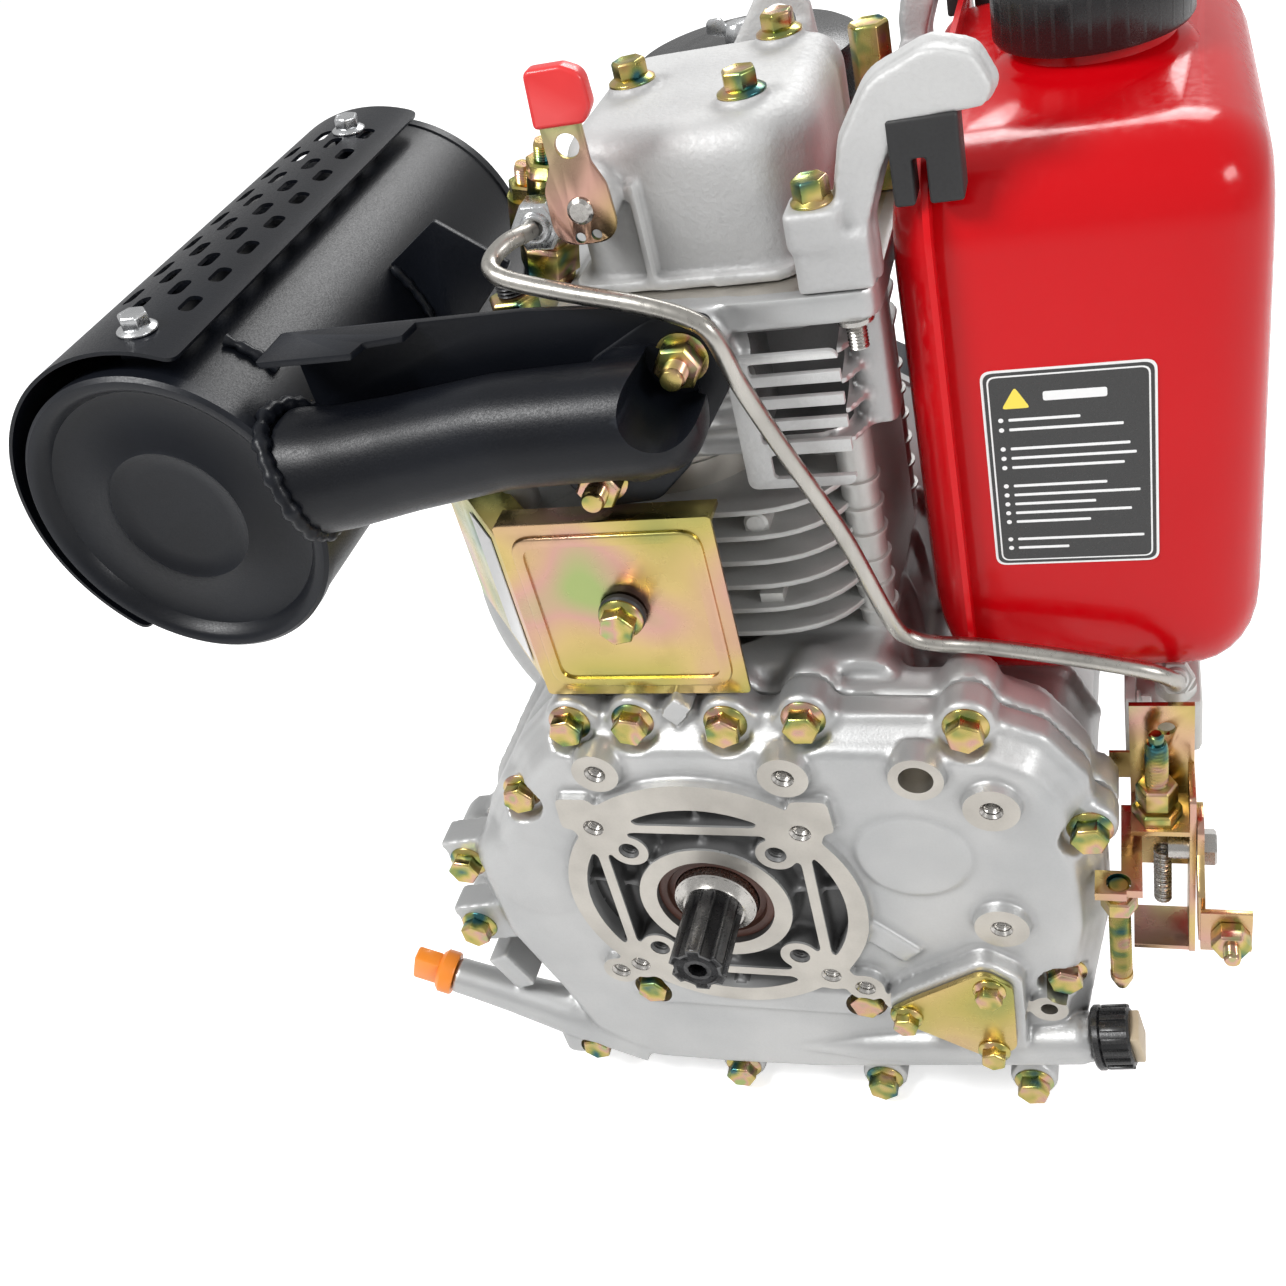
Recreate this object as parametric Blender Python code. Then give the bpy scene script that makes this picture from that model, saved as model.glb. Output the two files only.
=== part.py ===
"""Air-cooled single-cylinder diesel engine with a splined output shaft.

Every dimension below is in millimetres and measured from the engine datum: the crankshaft axis
where it crosses the machined output face.  +X points to the fuel tank, +Y to the flywheel and +Z
up.  ENGINE_DATUM places that datum in the world, and each mesh is converted to metres when its
object is made.
"""

import math

import bmesh
import bpy
from mathutils import Matrix, Vector

MM = 0.001

# ---- driving dimensions -------------------------------------------------------------------------
CRANK_HEIGHT = 152.0          # crankshaft axis above the base
DATUM = Vector((10.24, -163.0, CRANK_HEIGHT))   # the datum's place in the world, which centres the box
FIXED = (0.0, 0.0, 0.0)       # origin of every piece that doesn't move
GAP = 0.4                     # clearance between neighbouring pieces

STROKE = 72.0
BORE = 86.0
ROD_LENGTH = 118.0            # between the eyes of the connecting rod
CRANK_RADIUS = STROKE / 2
CYLINDER_Y = 98.0             # cylinder axis behind the output face
JOINT_Y = 30.0                # joint between the crankcase and its cover
CASE_BACK_Y = 165.0
DECK_Z = 104.0                # top of the crankcase, where the barrel stands
GASKET_Z = 196.0
HEAD_TOP_Z = 258.0
WALL = 7.0

PILOT_RADIUS = 66.0           # machined ring of the output face
INNER_BOLT_CIRCLE = 92.1
OUTER_BOLT_CIRCLE = 127.0
SEAL_RADIUS = 26.0
SHAFT_RADIUS = 12.5
SHAFT_REACH = 36.0            # spline's length in front of the output face

CAM_AXIS = (87.0, 25.0)       # X and Z of the camshaft
BALANCE_AXIS = (-78.0, 0.0)   # X and Z of the balance shaft
TIMING_TEETH = 15
BALANCE_TEETH = 21
TIMING_GEAR_Y = (19.0, 27.0)
BALANCE_GEAR_Y = (30.0, 38.0)

MUFFLER_AXIS = (-170.0, 216.0)
MUFFLER_RADIUS = 62.0
MUFFLER_Y = (-6.0, 248.0)
GUARD_RADIUS = 69.0

TANK_SEAM_X = 115.0
TANK_Y = (54.0, 246.0)
TANK_Z = (74.0, 292.0)
FILLER = (165.0, 150.0)       # X and Y of the filler neck
COCK = (190.0, 215.0)         # X and Y of the fuel cock

BLOWER_Y = (166.0, 262.0)
FAN_RADIUS = 112.0
STARTER_BACK_Y = 362.0
STARTER_ROPE = (301.0, -30.0) # Y and Z of the rope's run out of the housing

CASE_OUTLINE = [(-60, 104), (-92, 66), (-134, 18), (-144, -8), (-144, -56), (-128, -88), (-110, -138),
                (-96, -150), (136, -150), (148, -134), (154, -60), (160, 0), (169, 24), (169, 52),
                (150, 84), (124, 104)]
BODY_OUTLINE = CASE_OUTLINE[:11] + [(160, 0), (163, 30), (150, 56), (86, 60), (84, 104)]
SIDE_BOSSES = [(-36, 78), (43, 77), (95, 76), (122, 61), (121, -8)]
PUMP_BOLTS = [(77, -62), (114, -40), (113, -82)]
DEFLECTOR_BOLT = (-11, 148)
COVER_BOLTS = [(-47, 94), (-19, 95), (20, 94), (52, 96), (114, 92), (-80, 54), (-122, 6), (-131, -40),
               (157, 38), (144, -50), (-90, -126), (-16, -140), (55, -141), (126, -134)]

COLOURS = {
    "cast_alloy": ((0.62, 0.63, 0.64), 0.42, 0.8),
    "cast_iron": ((0.16, 0.16, 0.17), 0.6, 0.6),
    "machined_steel": ((0.55, 0.55, 0.56), 0.3, 1.0),
    "black_steel": ((0.02, 0.022, 0.026), 0.45, 0.4),
    "zinc_yellow": ((0.72, 0.58, 0.22), 0.3, 1.0),
    "zinc_silver": ((0.75, 0.76, 0.78), 0.25, 1.0),
    "tank_red": ((0.75, 0.0, 0.015), 0.15, 0.0),
    "grip_red": ((0.8, 0.03, 0.04), 0.4, 0.0),
    "rubber_black": ((0.012, 0.012, 0.013), 0.6, 0.0),
    "plastic_black": ((0.015, 0.015, 0.017), 0.35, 0.0),
    "plastic_orange": ((0.9, 0.22, 0.02), 0.4, 0.0),
    "seal_brown": ((0.13, 0.045, 0.025), 0.5, 0.0),
}


# ---- modelling tools ----------------------------------------------------------------------------
def material(slot):
    """The named finish as a Principled BSDF, made once."""
    found = bpy.data.materials.get(slot)
    if found:
        return found
    colour, roughness, metallic = COLOURS[slot]
    made = bpy.data.materials.new(slot)
    made.use_nodes = True
    shader = made.node_tree.nodes["Principled BSDF"]
    shader.inputs["Base Color"].default_value = (*colour, 1.0)
    shader.inputs["Roughness"].default_value = roughness
    shader.inputs["Metallic"].default_value = metallic
    return made


AXES = {"X": (Vector((0, 1, 0)), Vector((0, 0, 1)), Vector((1, 0, 0))),
        "Y": (Vector((1, 0, 0)), Vector((0, 0, 1)), Vector((0, 1, 0))),
        "Z": (Vector((1, 0, 0)), Vector((0, 1, 0)), Vector((0, 0, 1)))}


def prism(outline, axis, start, end):
    """A flat outline, given in the plane across the axis, extruded from start to end along it."""
    across, up, along = AXES[axis]
    shape = bmesh.new()
    rim = [shape.verts.new(across * a + up * b + along * start) for a, b in outline]
    face = shape.faces.new(rim)
    pushed = bmesh.ops.extrude_face_region(shape, geom=[face])
    moved = [item for item in pushed["geom"] if isinstance(item, bmesh.types.BMVert)]
    bmesh.ops.translate(shape, verts=moved, vec=along * (end - start))
    bmesh.ops.recalc_face_normals(shape, faces=shape.faces)
    return shape


def circle(radius, sides, centre=(0.0, 0.0), turn=0.0):
    """Points of a regular outline with its flats turned by the given share of a side."""
    step = 2 * math.pi / sides
    angles = [step * (i + turn) for i in range(sides)]
    return [(centre[0] + radius * math.cos(a), centre[1] + radius * math.sin(a)) for a in angles]


def disc(radius, axis, start, end, centre=(0.0, 0.0), sides=24):
    return prism(circle(radius, sides, centre, 0.5), axis, start, end)


def box(low, high):
    """A block between two corners."""
    shape = bmesh.new()
    bmesh.ops.create_cube(shape, size=1.0)
    size = Vector(high) - Vector(low)
    bmesh.ops.scale(shape, vec=size, verts=shape.verts)
    bmesh.ops.translate(shape, vec=(Vector(high) + Vector(low)) / 2, verts=shape.verts)
    return shape


def turned(profile, axis, centre=(0.0, 0.0), sides=24):
    """A closed profile of (radius, distance along the axis) points spun about the axis."""
    across, up, along = AXES[axis]
    base = across * centre[0] + up * centre[1]
    shape = bmesh.new()
    rim = [shape.verts.new(base + across * radius + along * reach) for radius, reach in profile]
    edges = [shape.edges.new((rim[i], rim[(i + 1) % len(rim)])) for i in range(len(rim))]
    bmesh.ops.spin(shape, geom=rim + edges, cent=base, axis=along, angle=2 * math.pi, steps=sides,
                   use_merge=True, use_duplicate=False)
    bmesh.ops.remove_doubles(shape, verts=shape.verts, dist=0.001)
    bmesh.ops.dissolve_degenerate(shape, dist=0.001, edges=shape.edges)
    bmesh.ops.recalc_face_normals(shape, faces=shape.faces)
    return shape


def rounded(points, radius, steps=2):
    """The outline with each corner replaced by an arc of the given radius, or less where it is tight."""
    result = []
    for i, corner in enumerate(points):
        here = Vector(corner)
        before = Vector(points[i - 1]) - here
        after = Vector(points[(i + 1) % len(points)]) - here
        half = before.angle(after) / 2
        trim = min(radius / math.tan(half), before.length * 0.45, after.length * 0.45)
        start = here + before.normalized() * trim
        end = here + after.normalized() * trim
        for k in range(steps + 1):
            t = k / steps
            result.append(tuple(start * (1 - t) ** 2 + here * 2 * t * (1 - t) + end * t ** 2))
    return result


def inset(points, distance):
    """The outline moved inwards by a distance.  Its points run clockwise or the other way round."""
    area = sum(points[i - 1][0] * points[i][1] - points[i][0] * points[i - 1][1] for i in range(len(points)))
    side = 1.0 if area > 0 else -1.0
    result = []
    for i, corner in enumerate(points):
        here = Vector(corner)
        incoming = (here - Vector(points[i - 1])).normalized()
        outgoing = (Vector(points[(i + 1) % len(points)]) - here).normalized()
        normal_in = Vector((-incoming.y, incoming.x)) * side
        normal_out = Vector((-outgoing.y, outgoing.x)) * side
        bisector = (normal_in + normal_out).normalized()
        result.append(tuple(here + bisector * distance / max(0.3, bisector.dot(normal_in))))
    return result


def moved(shape, offset=(0, 0, 0), turn=0.0, about="Z", pivot=(0, 0, 0)):
    """The shape turned by degrees about a line through the pivot, then moved."""
    swing = Matrix.Rotation(math.radians(turn), 3, about)
    bmesh.ops.rotate(shape, verts=shape.verts, cent=pivot, matrix=swing)
    bmesh.ops.translate(shape, vec=offset, verts=shape.verts)
    return shape


def aimed(shape, place, direction):
    """The shape, made along +Z from the origin, turned to point along a direction and put in place."""
    turn = Vector((0, 0, 1)).rotation_difference(Vector(direction).normalized()).to_matrix()
    bmesh.ops.rotate(shape, verts=shape.verts, cent=(0, 0, 0), matrix=turn)
    bmesh.ops.translate(shape, vec=place, verts=shape.verts)
    return shape


def gathered(shapes):
    """Several shapes in one mesh, each still its own body."""
    whole = bmesh.new()
    for shape in shapes:
        held = bpy.data.meshes.new("held")
        shape.to_mesh(held)
        shape.free()
        whole.from_mesh(held)
        bpy.data.meshes.remove(held)
    return whole


def world(place):
    """A point in datum millimetres as a point of the scene in metres."""
    return (Vector(place) + DATUM) * MM


def put(name, shape, slot=None, pivot=FIXED):
    """An object in the scene from a shape in datum millimetres, its origin at the pivot."""
    bmesh.ops.translate(shape, vec=-Vector(pivot), verts=shape.verts)
    bmesh.ops.scale(shape, vec=(MM, MM, MM), verts=shape.verts)
    mesh = bpy.data.meshes.new(name)
    shape.to_mesh(mesh)
    shape.free()
    made = bpy.data.objects.new(name, mesh)
    made.location = world(pivot)
    bpy.context.scene.collection.objects.link(made)
    if slot:
        mesh.materials.append(material(slot))
        mesh.shade_smooth()
        mesh.set_sharp_from_angle(angle=math.radians(35))
    return made


def helper(name, shape):
    """A cutter or an addition: it shapes other objects and isn't a piece itself."""
    made = put(name, shape)
    made.hide_render = True
    made.display_type = "WIRE"
    return made


def combine(target, shapes, operation):
    """Adds each shape to the target, or takes it away, by an exact Boolean."""
    for shape in shapes:
        number = len(target.modifiers)
        tool = helper(f"{target.name}_tool{number}", shape)
        step = target.modifiers.new(f"{operation.lower()}{number}", "BOOLEAN")
        step.operation = operation
        step.object = tool
        step.solver = "EXACT"
        step.use_self = False


def built(name, slot, base, added=(), removed=(), pivot=FIXED):
    """A piece made from a base shape, with shapes added to it and then shapes cut from it."""
    made = put(name, base, slot, pivot)
    combine(made, added, "UNION")
    combine(made, removed, "DIFFERENCE")
    return made


def union_of(first, second):
    """Two overlapping shapes as one closed body, worked out at once."""
    one = helper("joining", first)
    two = helper("joined", second)
    step = one.modifiers.new("union", "BOOLEAN")
    step.operation = "UNION"
    step.object = two
    step.solver = "EXACT"
    bpy.context.view_layer.update()
    result = bmesh.new()
    result.from_object(one, bpy.context.evaluated_depsgraph_get())
    for tool in (one, two):
        mesh = tool.data
        bpy.data.objects.remove(tool)
        bpy.data.meshes.remove(mesh)
    bmesh.ops.scale(result, vec=(1 / MM, 1 / MM, 1 / MM), verts=result.verts)
    return result


def spline_points(points, spacing):
    """Points at an even spacing along the Catmull-Rom curve through the given ones."""
    knots = [Vector(p) for p in points]
    knots = [knots[0] * 2 - knots[1]] + knots + [knots[-1] * 2 - knots[-2]]
    fine = []
    for i in range(1, len(knots) - 2):
        a, b, c, d = knots[i - 1:i + 3]
        for k in range(40):
            t = k / 40
            fine.append(0.5 * (2 * b + (c - a) * t + (2 * a - 5 * b + 4 * c - d) * t ** 2
                               + (3 * b - a - 3 * c + d) * t ** 3))
    fine.append(knots[-2])
    length = sum((fine[i + 1] - fine[i]).length for i in range(len(fine) - 1))
    count = max(2, round(length / spacing))
    result, walked, target = [fine[0]], 0.0, length / count
    for i in range(len(fine) - 1):
        walked += (fine[i + 1] - fine[i]).length
        if walked >= target * len(result) and len(result) < count:
            result.append(fine[i + 1])
    return result + [fine[-1]]


def tube(name, slot, points, radius, spacing, resolution=2):
    """A round bar along a smooth curve through the points."""
    curve = bpy.data.curves.new(name, "CURVE")
    curve.dimensions = "3D"
    curve.bevel_depth = radius * MM
    curve.bevel_resolution = resolution
    curve.use_fill_caps = True
    line = curve.splines.new("POLY")
    path = spline_points(points, spacing)
    line.points.add(len(path) - 1)
    for point, place in zip(line.points, path):
        point.co = (*world(place), 1.0)
    curve.materials.append(material(slot))
    made = bpy.data.objects.new(name, curve)
    bpy.context.scene.collection.objects.link(made)
    return made


def gear_outline(teeth, pitch_radius, turn, centre):
    """A gear's outline with straight-sided teeth, thinner than the gaps so that a pair runs free."""
    module = 2 * pitch_radius / teeth
    root, tip = pitch_radius - 1.15 * module, pitch_radius + 0.75 * module
    pitch = 2 * math.pi / teeth
    result = []
    for i in range(teeth):
        middle = pitch * i + turn
        for radius, share in ((root, -0.33), (tip, -0.1), (tip, 0.1), (root, 0.33)):
            angle = middle + pitch * share
            result.append((centre[0] + radius * math.cos(angle), centre[1] + radius * math.sin(angle)))
    return result


def on_axis(axis):
    """The origin of a piece that turns about a line along Y, given the line's X and Z."""
    return (axis[0], 0.0, axis[1])


def circle_bolts(diameter):
    """The four bolt places of a square pattern on the output face."""
    reach = diameter / 2 * math.sqrt(0.5)
    return [(sx * reach, sz * reach) for sx in (-1, 1) for sz in (-1, 1)]


# ---- crankcase and its cover --------------------------------------------------------------------
def crankcase():
    """A shallow front part as wide as the cover, and behind it a body that steps down under the tank."""
    front = rounded(CASE_OUTLINE, 8, 1)
    rear = rounded(BODY_OUTLINE, 8, 1)
    hollows = [prism(inset(CASE_OUTLINE, WALL), "Y", JOINT_Y - 5, 39),
               prism(inset(BODY_OUTLINE, WALL + 0.5), "Y", 37, CASE_BACK_Y - 8)]
    feet = [box((x0, 44, -CRANK_HEIGHT), (x0 + 30, 158, -145)) for x0 in (-100, 92)]
    bosses = [disc(8.0, "Y", JOINT_Y + GAP, JOINT_Y + 12, place, 8) for place in COVER_BOLTS]
    built("crankcase", "cast_alloy", prism(front, "Y", JOINT_Y + GAP, 44.5),
          added=[prism(rear, "Y", 43, CASE_BACK_Y)] + feet + bosses,
          removed=hollows + [disc(52.0, "Z", 60, 130, (0, CYLINDER_Y), 24), rod_tunnel(60, 130),
                             disc(27.0, "Y", 150, 175, (0, 0), 24)])


def crankcase_cover():
    flange = rounded(CASE_OUTLINE, 8, 1)
    dome = rounded(inset(CASE_OUTLINE, 12), 14, 1)
    hub = disc(44.0, "Y", 1.0, 17, sides=24)
    ring = turned([(PILOT_RADIUS - 8, 0), (PILOT_RADIUS, 0), (PILOT_RADIUS, 10), (PILOT_RADIUS - 8, 10)],
                  "Y", sides=24)
    rim = turned([(SEAL_RADIUS + 0.5, 0), (SEAL_RADIUS + 7, 0), (SEAL_RADIUS + 7, 9), (SEAL_RADIUS + 0.5, 9)],
                 "Y", sides=24)
    flange_holes = circle_bolts(OUTER_BOLT_CIRCLE) + circle_bolts(INNER_BOLT_CIRCLE)
    pads = [disc(8.0, "Y", 0, 10, place, 8) for place in flange_holes]
    bars = [moved(box((-44, 0, 43), (44, 10, 47)), turn=90 * turn, about="Y") for turn in range(4)]
    pads += [disc(8.0, "Y", 0, 12, place, 8) for place in SIDE_BOSSES]
    pads += [disc(8.0, "Y", -4, 12, place, 8) for place in PUMP_BOLTS]
    oil_neck = aimed(disc(10.0, "Z", 0, 84, sides=14), FILLER_START, FILLER_DIRECTION)
    dip_tube = aimed(disc(9.0, "Z", 0, 62, sides=14), DIP_START, DIP_DIRECTION)
    hollow = prism(rounded(inset(CASE_OUTLINE, 14), 10, 1), "Y", 16, JOINT_Y + 5)
    gear_room = disc(timing_radius() * 2 + 5.5, "Y", 17, JOINT_Y + 5, CAM_AXIS, 40)
    cover = built("crankcase_cover", "cast_alloy", prism(flange, "Y", 15, JOINT_Y),
                  added=[prism(dome, "Y", 9, 18)], removed=[hollow, gear_room])
    combine(cover, [hub, ring, rim] + pads + bars + [oil_neck, dip_tube], "UNION")
    tapped = gathered([disc(3.4, "Y", -3, 12, place, 6) for place in flange_holes + SIDE_BOSSES])
    combine(cover, [disc(SEAL_RADIUS + GAP, "Y", -5, 12, sides=24), disc(18.2, "Y", 11, 20, sides=24), tapped,
                    aimed(disc(5.0, "Z", 8, 70, sides=8), DIP_START, DIP_DIRECTION),
                    aimed(disc(7.5, "Z", 50, 90, sides=8), FILLER_START, FILLER_DIRECTION)], "DIFFERENCE")


def oil_pump_cover():
    plate = rounded([(66, -62), (80, -51), (112, -29), (124, -38), (123, -80), (110, -88)], 8, 1)
    put("oil_pump_cover", prism(plate, "Y", -7.0, -4.0 - GAP), "zinc_yellow")


def oil_seal():
    profile = [(18.6, 3), (SEAL_RADIUS, 3), (SEAL_RADIUS, 10.5), (18.6, 10.5)]
    put("oil_seal", turned(profile, "Y", sides=24), "seal_brown")


# ---- crank train --------------------------------------------------------------------------------
def crankshaft():
    spline = []
    for i in range(6):
        middle = math.radians(60 * i + 30)
        for radius, half in ((10.4, 0.30), (SHAFT_RADIUS, 0.23)):
            spline.append((radius, middle - half))
        for radius, half in ((SHAFT_RADIUS, 0.23), (10.4, 0.30)):
            spline.append((radius, middle + half))
    points = [(r * math.cos(a), r * math.sin(a)) for r, a in spline]
    end = prism(points, "Y", -SHAFT_REACH, 6)
    web = [(-24, 40), (-16, 56), (16, 56), (24, 40), (27, 6), (60, -14), (52, -34), (32, -53), (0, -62),
           (-32, -53), (-52, -34), (-60, -14), (-27, 6)]
    front_web = prism(web, "Y", CYLINDER_Y - 36, CYLINDER_Y - 18)
    rear_web = prism(web, "Y", CYLINDER_Y + 18, CYLINDER_Y + 36)
    pin = disc(20.0, "Y", CYLINDER_Y - 20, CYLINDER_Y + 20, (0, CRANK_RADIUS), 20)
    front_journal = disc(17.5, "Y", 0, CYLINDER_Y - 34, sides=20)
    rear_journal = disc(22.0, "Y", CYLINDER_Y + 34, 168, sides=20)
    taper = turned([(0, 167), (19, 167), (15, 226), (9, 226), (9, 240), (0, 240)], "Y", sides=16)
    gears = [prism(gear_outline(TIMING_TEETH, timing_radius(), math.atan2(CAM_AXIS[1], CAM_AXIS[0]), (0, 0)),
                   "Y", *TIMING_GEAR_Y),
             prism(gear_outline(BALANCE_TEETH, -BALANCE_AXIS[0] / 2, math.pi, (0, 0)), "Y", *BALANCE_GEAR_Y)]
    built("crankshaft", "black_steel", end,
          added=[front_journal, front_web, pin, rear_web, rear_journal, taper] + gears,
          removed=[disc(4.2, "Y", -50, -18, sides=10)])


def timing_radius():
    """Pitch radius of the gear on the crankshaft that drives the camshaft at half its speed."""
    return math.hypot(*CAM_AXIS) / 3


def camshaft():
    teeth = TIMING_TEETH * 2
    toward_crank = math.atan2(-CAM_AXIS[1], -CAM_AXIS[0])
    outline = gear_outline(teeth, timing_radius() * 2, toward_crank + math.pi / teeth, CAM_AXIS)
    lobes = []
    for start, lift_turn in ((82, 1.9), (103, 3.6), (124, 0.4)):
        lobe = []
        for i in range(16):
            angle = 2 * math.pi * i / 16
            radius = 13 + 6 * max(0.0, math.cos(angle - lift_turn)) ** 3
            lobe.append((CAM_AXIS[0] + radius * math.cos(angle), CAM_AXIS[1] + radius * math.sin(angle)))
        lobes.append(prism(lobe, "Y", start, start + 12))
    built("camshaft", "machined_steel", disc(10.0, "Y", 20, 156, CAM_AXIS, 16),
          added=lobes + [prism(outline, "Y", *TIMING_GEAR_Y)], pivot=on_axis(CAM_AXIS))


def balance_shaft():
    teeth = BALANCE_TEETH
    outline = gear_outline(teeth, -BALANCE_AXIS[0] / 2, math.pi / teeth, BALANCE_AXIS)
    x = BALANCE_AXIS[0]
    weight = [(x - 20, 2), (x - 14, -16), (x, -21), (x + 14, -16), (x + 20, 2)]
    built("balance_shaft", "machined_steel", disc(9.0, "Y", 20, 156, BALANCE_AXIS, 16),
          added=[prism(weight, "Y", 84, 112), prism(outline, "Y", *BALANCE_GEAR_Y)],
          pivot=on_axis(BALANCE_AXIS))


def piston_and_rod():
    pin_z = CRANK_RADIUS + ROD_LENGTH
    crown_z = pin_z + 38
    profile = [(0, crown_z), (BORE / 2 - 0.3, crown_z)]
    profile += [(BORE / 2 - 0.3, crown_z - 76), (BORE / 2 - 4, crown_z - 76), (BORE / 2 - 5, crown_z - 12),
                (0, crown_z - 12)]
    bosses = [box((-16, CYLINDER_Y - 40, pin_z - 15), (16, CYLINDER_Y - 17, crown_z - 10)),
              box((-16, CYLINDER_Y + 17, pin_z - 15), (16, CYLINDER_Y + 40, crown_z - 10))]
    built("piston", "cast_alloy", turned(profile, "Z", (0, CYLINDER_Y), 24), added=bosses,
          removed=[disc(12.0, "Y", CYLINDER_Y - 60, CYLINDER_Y + 60, (0, pin_z), 16)])
    put("piston_pin", disc(11.5, "Y", CYLINDER_Y - 36, CYLINDER_Y + 36, (0, pin_z), 16), "machined_steel")
    eye_radius = 31.0
    eye_top = CRANK_RADIUS + eye_radius
    shank = prism([(-9, pin_z), (9, pin_z), (12, eye_top - 1.5), (-12, eye_top - 1.5)], "Y",
                  CYLINDER_Y - 9, CYLINDER_Y + 9)
    built("connecting_rod", "machined_steel", shank,
          added=[disc(17.0, "Y", CYLINDER_Y - 15, CYLINDER_Y + 15, (0, pin_z), 18)],
          removed=[disc(12.0, "Y", CYLINDER_Y - 30, CYLINDER_Y + 30, (0, pin_z), 16),
                   disc(eye_top + GAP, "Y", CYLINDER_Y - 30, CYLINDER_Y + 30, (0, 0), 48)])
    big_end = [(20.5, CYLINDER_Y - 16), (eye_radius, CYLINDER_Y - 16), (eye_radius, CYLINDER_Y + 16),
               (20.5, CYLINDER_Y + 16)]
    put("rod_big_end", turned(big_end, "Y", (0, CRANK_RADIUS), 24), "machined_steel")


# ---- cylinder, head and valve gear --------------------------------------------------------------
def barrel():
    low, high = DECK_Z + GAP, GASKET_Z
    base = disc(50.0, "Z", low, high, (0, CYLINDER_Y), 24)
    skirt = disc(51.0, "Z", 82, low + 2, (0, CYLINDER_Y), 24)
    fin = rounded([(-74, 40), (84, 40), (84, 160), (-74, 160)], 34, 2)
    plates = [prism(fin, "Z", z, z + 3.2) for z in (120, 134, 148, 162, 176)]
    plates += [prism(rounded([(-58, 46), (66, 46), (66, 152), (-58, 152)], 10), "Z", low, low + 9),
               prism(rounded([(-62, 44), (88, 44), (88, 156), (-62, 156)], 20), "Z", high - 7, high),
               box((58, 80, low), (78, 140, high))]
    built("cylinder_barrel", "cast_iron", base, added=[skirt] + plates,
          removed=[disc(BORE / 2 + 0.4, "Z", 70, 210, (0, CYLINDER_Y), 24), rod_tunnel(low - 10, high + 10)])


VALVES = ((20, 86), (20, 130))     # X and Y of the exhaust valve and of the intake valve
PUSHRODS = ((68, 88), (68, 130))   # X and Y of the push rods beside them
ROCKER_PIVOT = (40, 292)           # X and Z of the rocker shaft


def rod_tunnel(low, high):
    """The passage that the push rods run up in."""
    x, y0, y1 = PUSHRODS[0][0], PUSHRODS[0][1], PUSHRODS[1][1]
    return box((x - 5, y0 - 5, low), (x + 5, y1 + 5, high))


def cylinder_head():
    low = GASKET_Z + 1.2
    body = prism(rounded([(-50, 50), (84, 50), (84, 158), (-50, 158)], 14), "Z", low, HEAD_TOP_Z - 4)
    deck = prism(rounded([(-22, 52), (50, 44), (97, 44), (97, 166), (-22, 166)], 10), "Z",
                 HEAD_TOP_Z - 12, HEAD_TOP_Z)
    fins = [prism(rounded([(-68, 44), (88, 44), (88, 164), (-68, 164)], 16), "Z", z, z + 3.2)
            for z in (low, low + 13, low + 26)]
    port_foot = GASKET_Z + GAP + 2
    exhaust_port = prism(rounded([(-22, port_foot), (20, port_foot), (46, 236), (40, 256), (8, 256),
                                  (-18, 222)], 8), "Y", 32, 60)
    intake_port = disc(20.0, "Y", 150, 176, (20, 228), 16)
    stem_holes = gathered([disc(4.0, "Z", low - 5, HEAD_TOP_Z + 5, place, 10) for place in VALVES])
    seats = gathered([disc(18.5, "Z", low - 5, low + 4, place, 20) for place in VALVES])
    injector_hole = aimed(disc(9.0, "Z", -30, 60, sides=12), INJECTOR_FOOT, INJECTOR_DIRECTION)
    passages = gathered([disc(14.0, "Y", 20, 58, (12, 226), 16), disc(14.0, "Y", 150, 190, (20, 228), 16)])
    rod_slot = rod_tunnel(low - 5, HEAD_TOP_Z + 5)
    built("cylinder_head", "cast_alloy", body, added=[deck] + fins + [exhaust_port, intake_port],
          removed=[stem_holes, seats, injector_hole, passages, rod_slot])


def valve_gear():
    """Two sets of valve, rocker arm and push rod on one rocker shaft."""
    low = GASKET_Z + 1.6
    for name, (x, y), rod in zip(("exhaust", "intake"), VALVES, PUSHRODS):
        stem = [(0, low), (17.5, low), (17.5, low + 1.5), (3.4, low + 3.2), (3.4, 284), (0, 284)]
        put(f"{name}_valve", turned(stem, "Z", (x, y), 16), "machined_steel")
        arm = rounded([(12, 285), (16, 295), (40, 298), (62, 291), (73, 291), (73, 285), (40, 287)], 3, 1)
        built(f"{name}_rocker", "machined_steel", prism(arm, "Y", y - 7, y + 7),
              removed=[disc(4.4, "Y", 60, 150, ROCKER_PIVOT, 10)])
        put(f"{name}_pushrod", disc(3.0, "Z", 52, 285 - GAP, rod, 8), "machined_steel")
    built("rocker_shaft", "machined_steel", disc(4.0, "Y", 77, 139, ROCKER_PIVOT, 10),
          added=[box((33, 100, HEAD_TOP_Z + GAP), (47, 116, 297))])


ROCKER_BOLTS = ((7, 116), (54, 86), (56, 147))
LIFTER_AXIS = (2.0, 296.0)    # X and Z of the decompression lever's spindle


def rocker_cover():
    outline = rounded([(-14, 66), (64, 60), (80, 80), (80, 164), (-14, 164)], 16, 2)
    flange = prism(inset(outline, -3), "Z", HEAD_TOP_Z + GAP, HEAD_TOP_Z + 6)
    body = prism(outline, "Z", HEAD_TOP_Z + 2, 304)
    crown = prism(inset(outline, 7), "Z", 300, 314)
    bosses = [disc(8.5, "Z", 296, 315, place, 12) for place in ROCKER_BOLTS]
    low = prism(inset(outline, 4), "Z", 240, 300)
    high = prism(inset(outline, 11), "Z", 299, 310.5)
    bosses.append(disc(8.0, "Y", 52, 72, LIFTER_AXIS, 16))
    built("rocker_cover", "cast_alloy", flange, added=[body, crown] + bosses,
          removed=[low, high, disc(3.6, "Y", 40, 60, LIFTER_AXIS, 12)])


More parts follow.
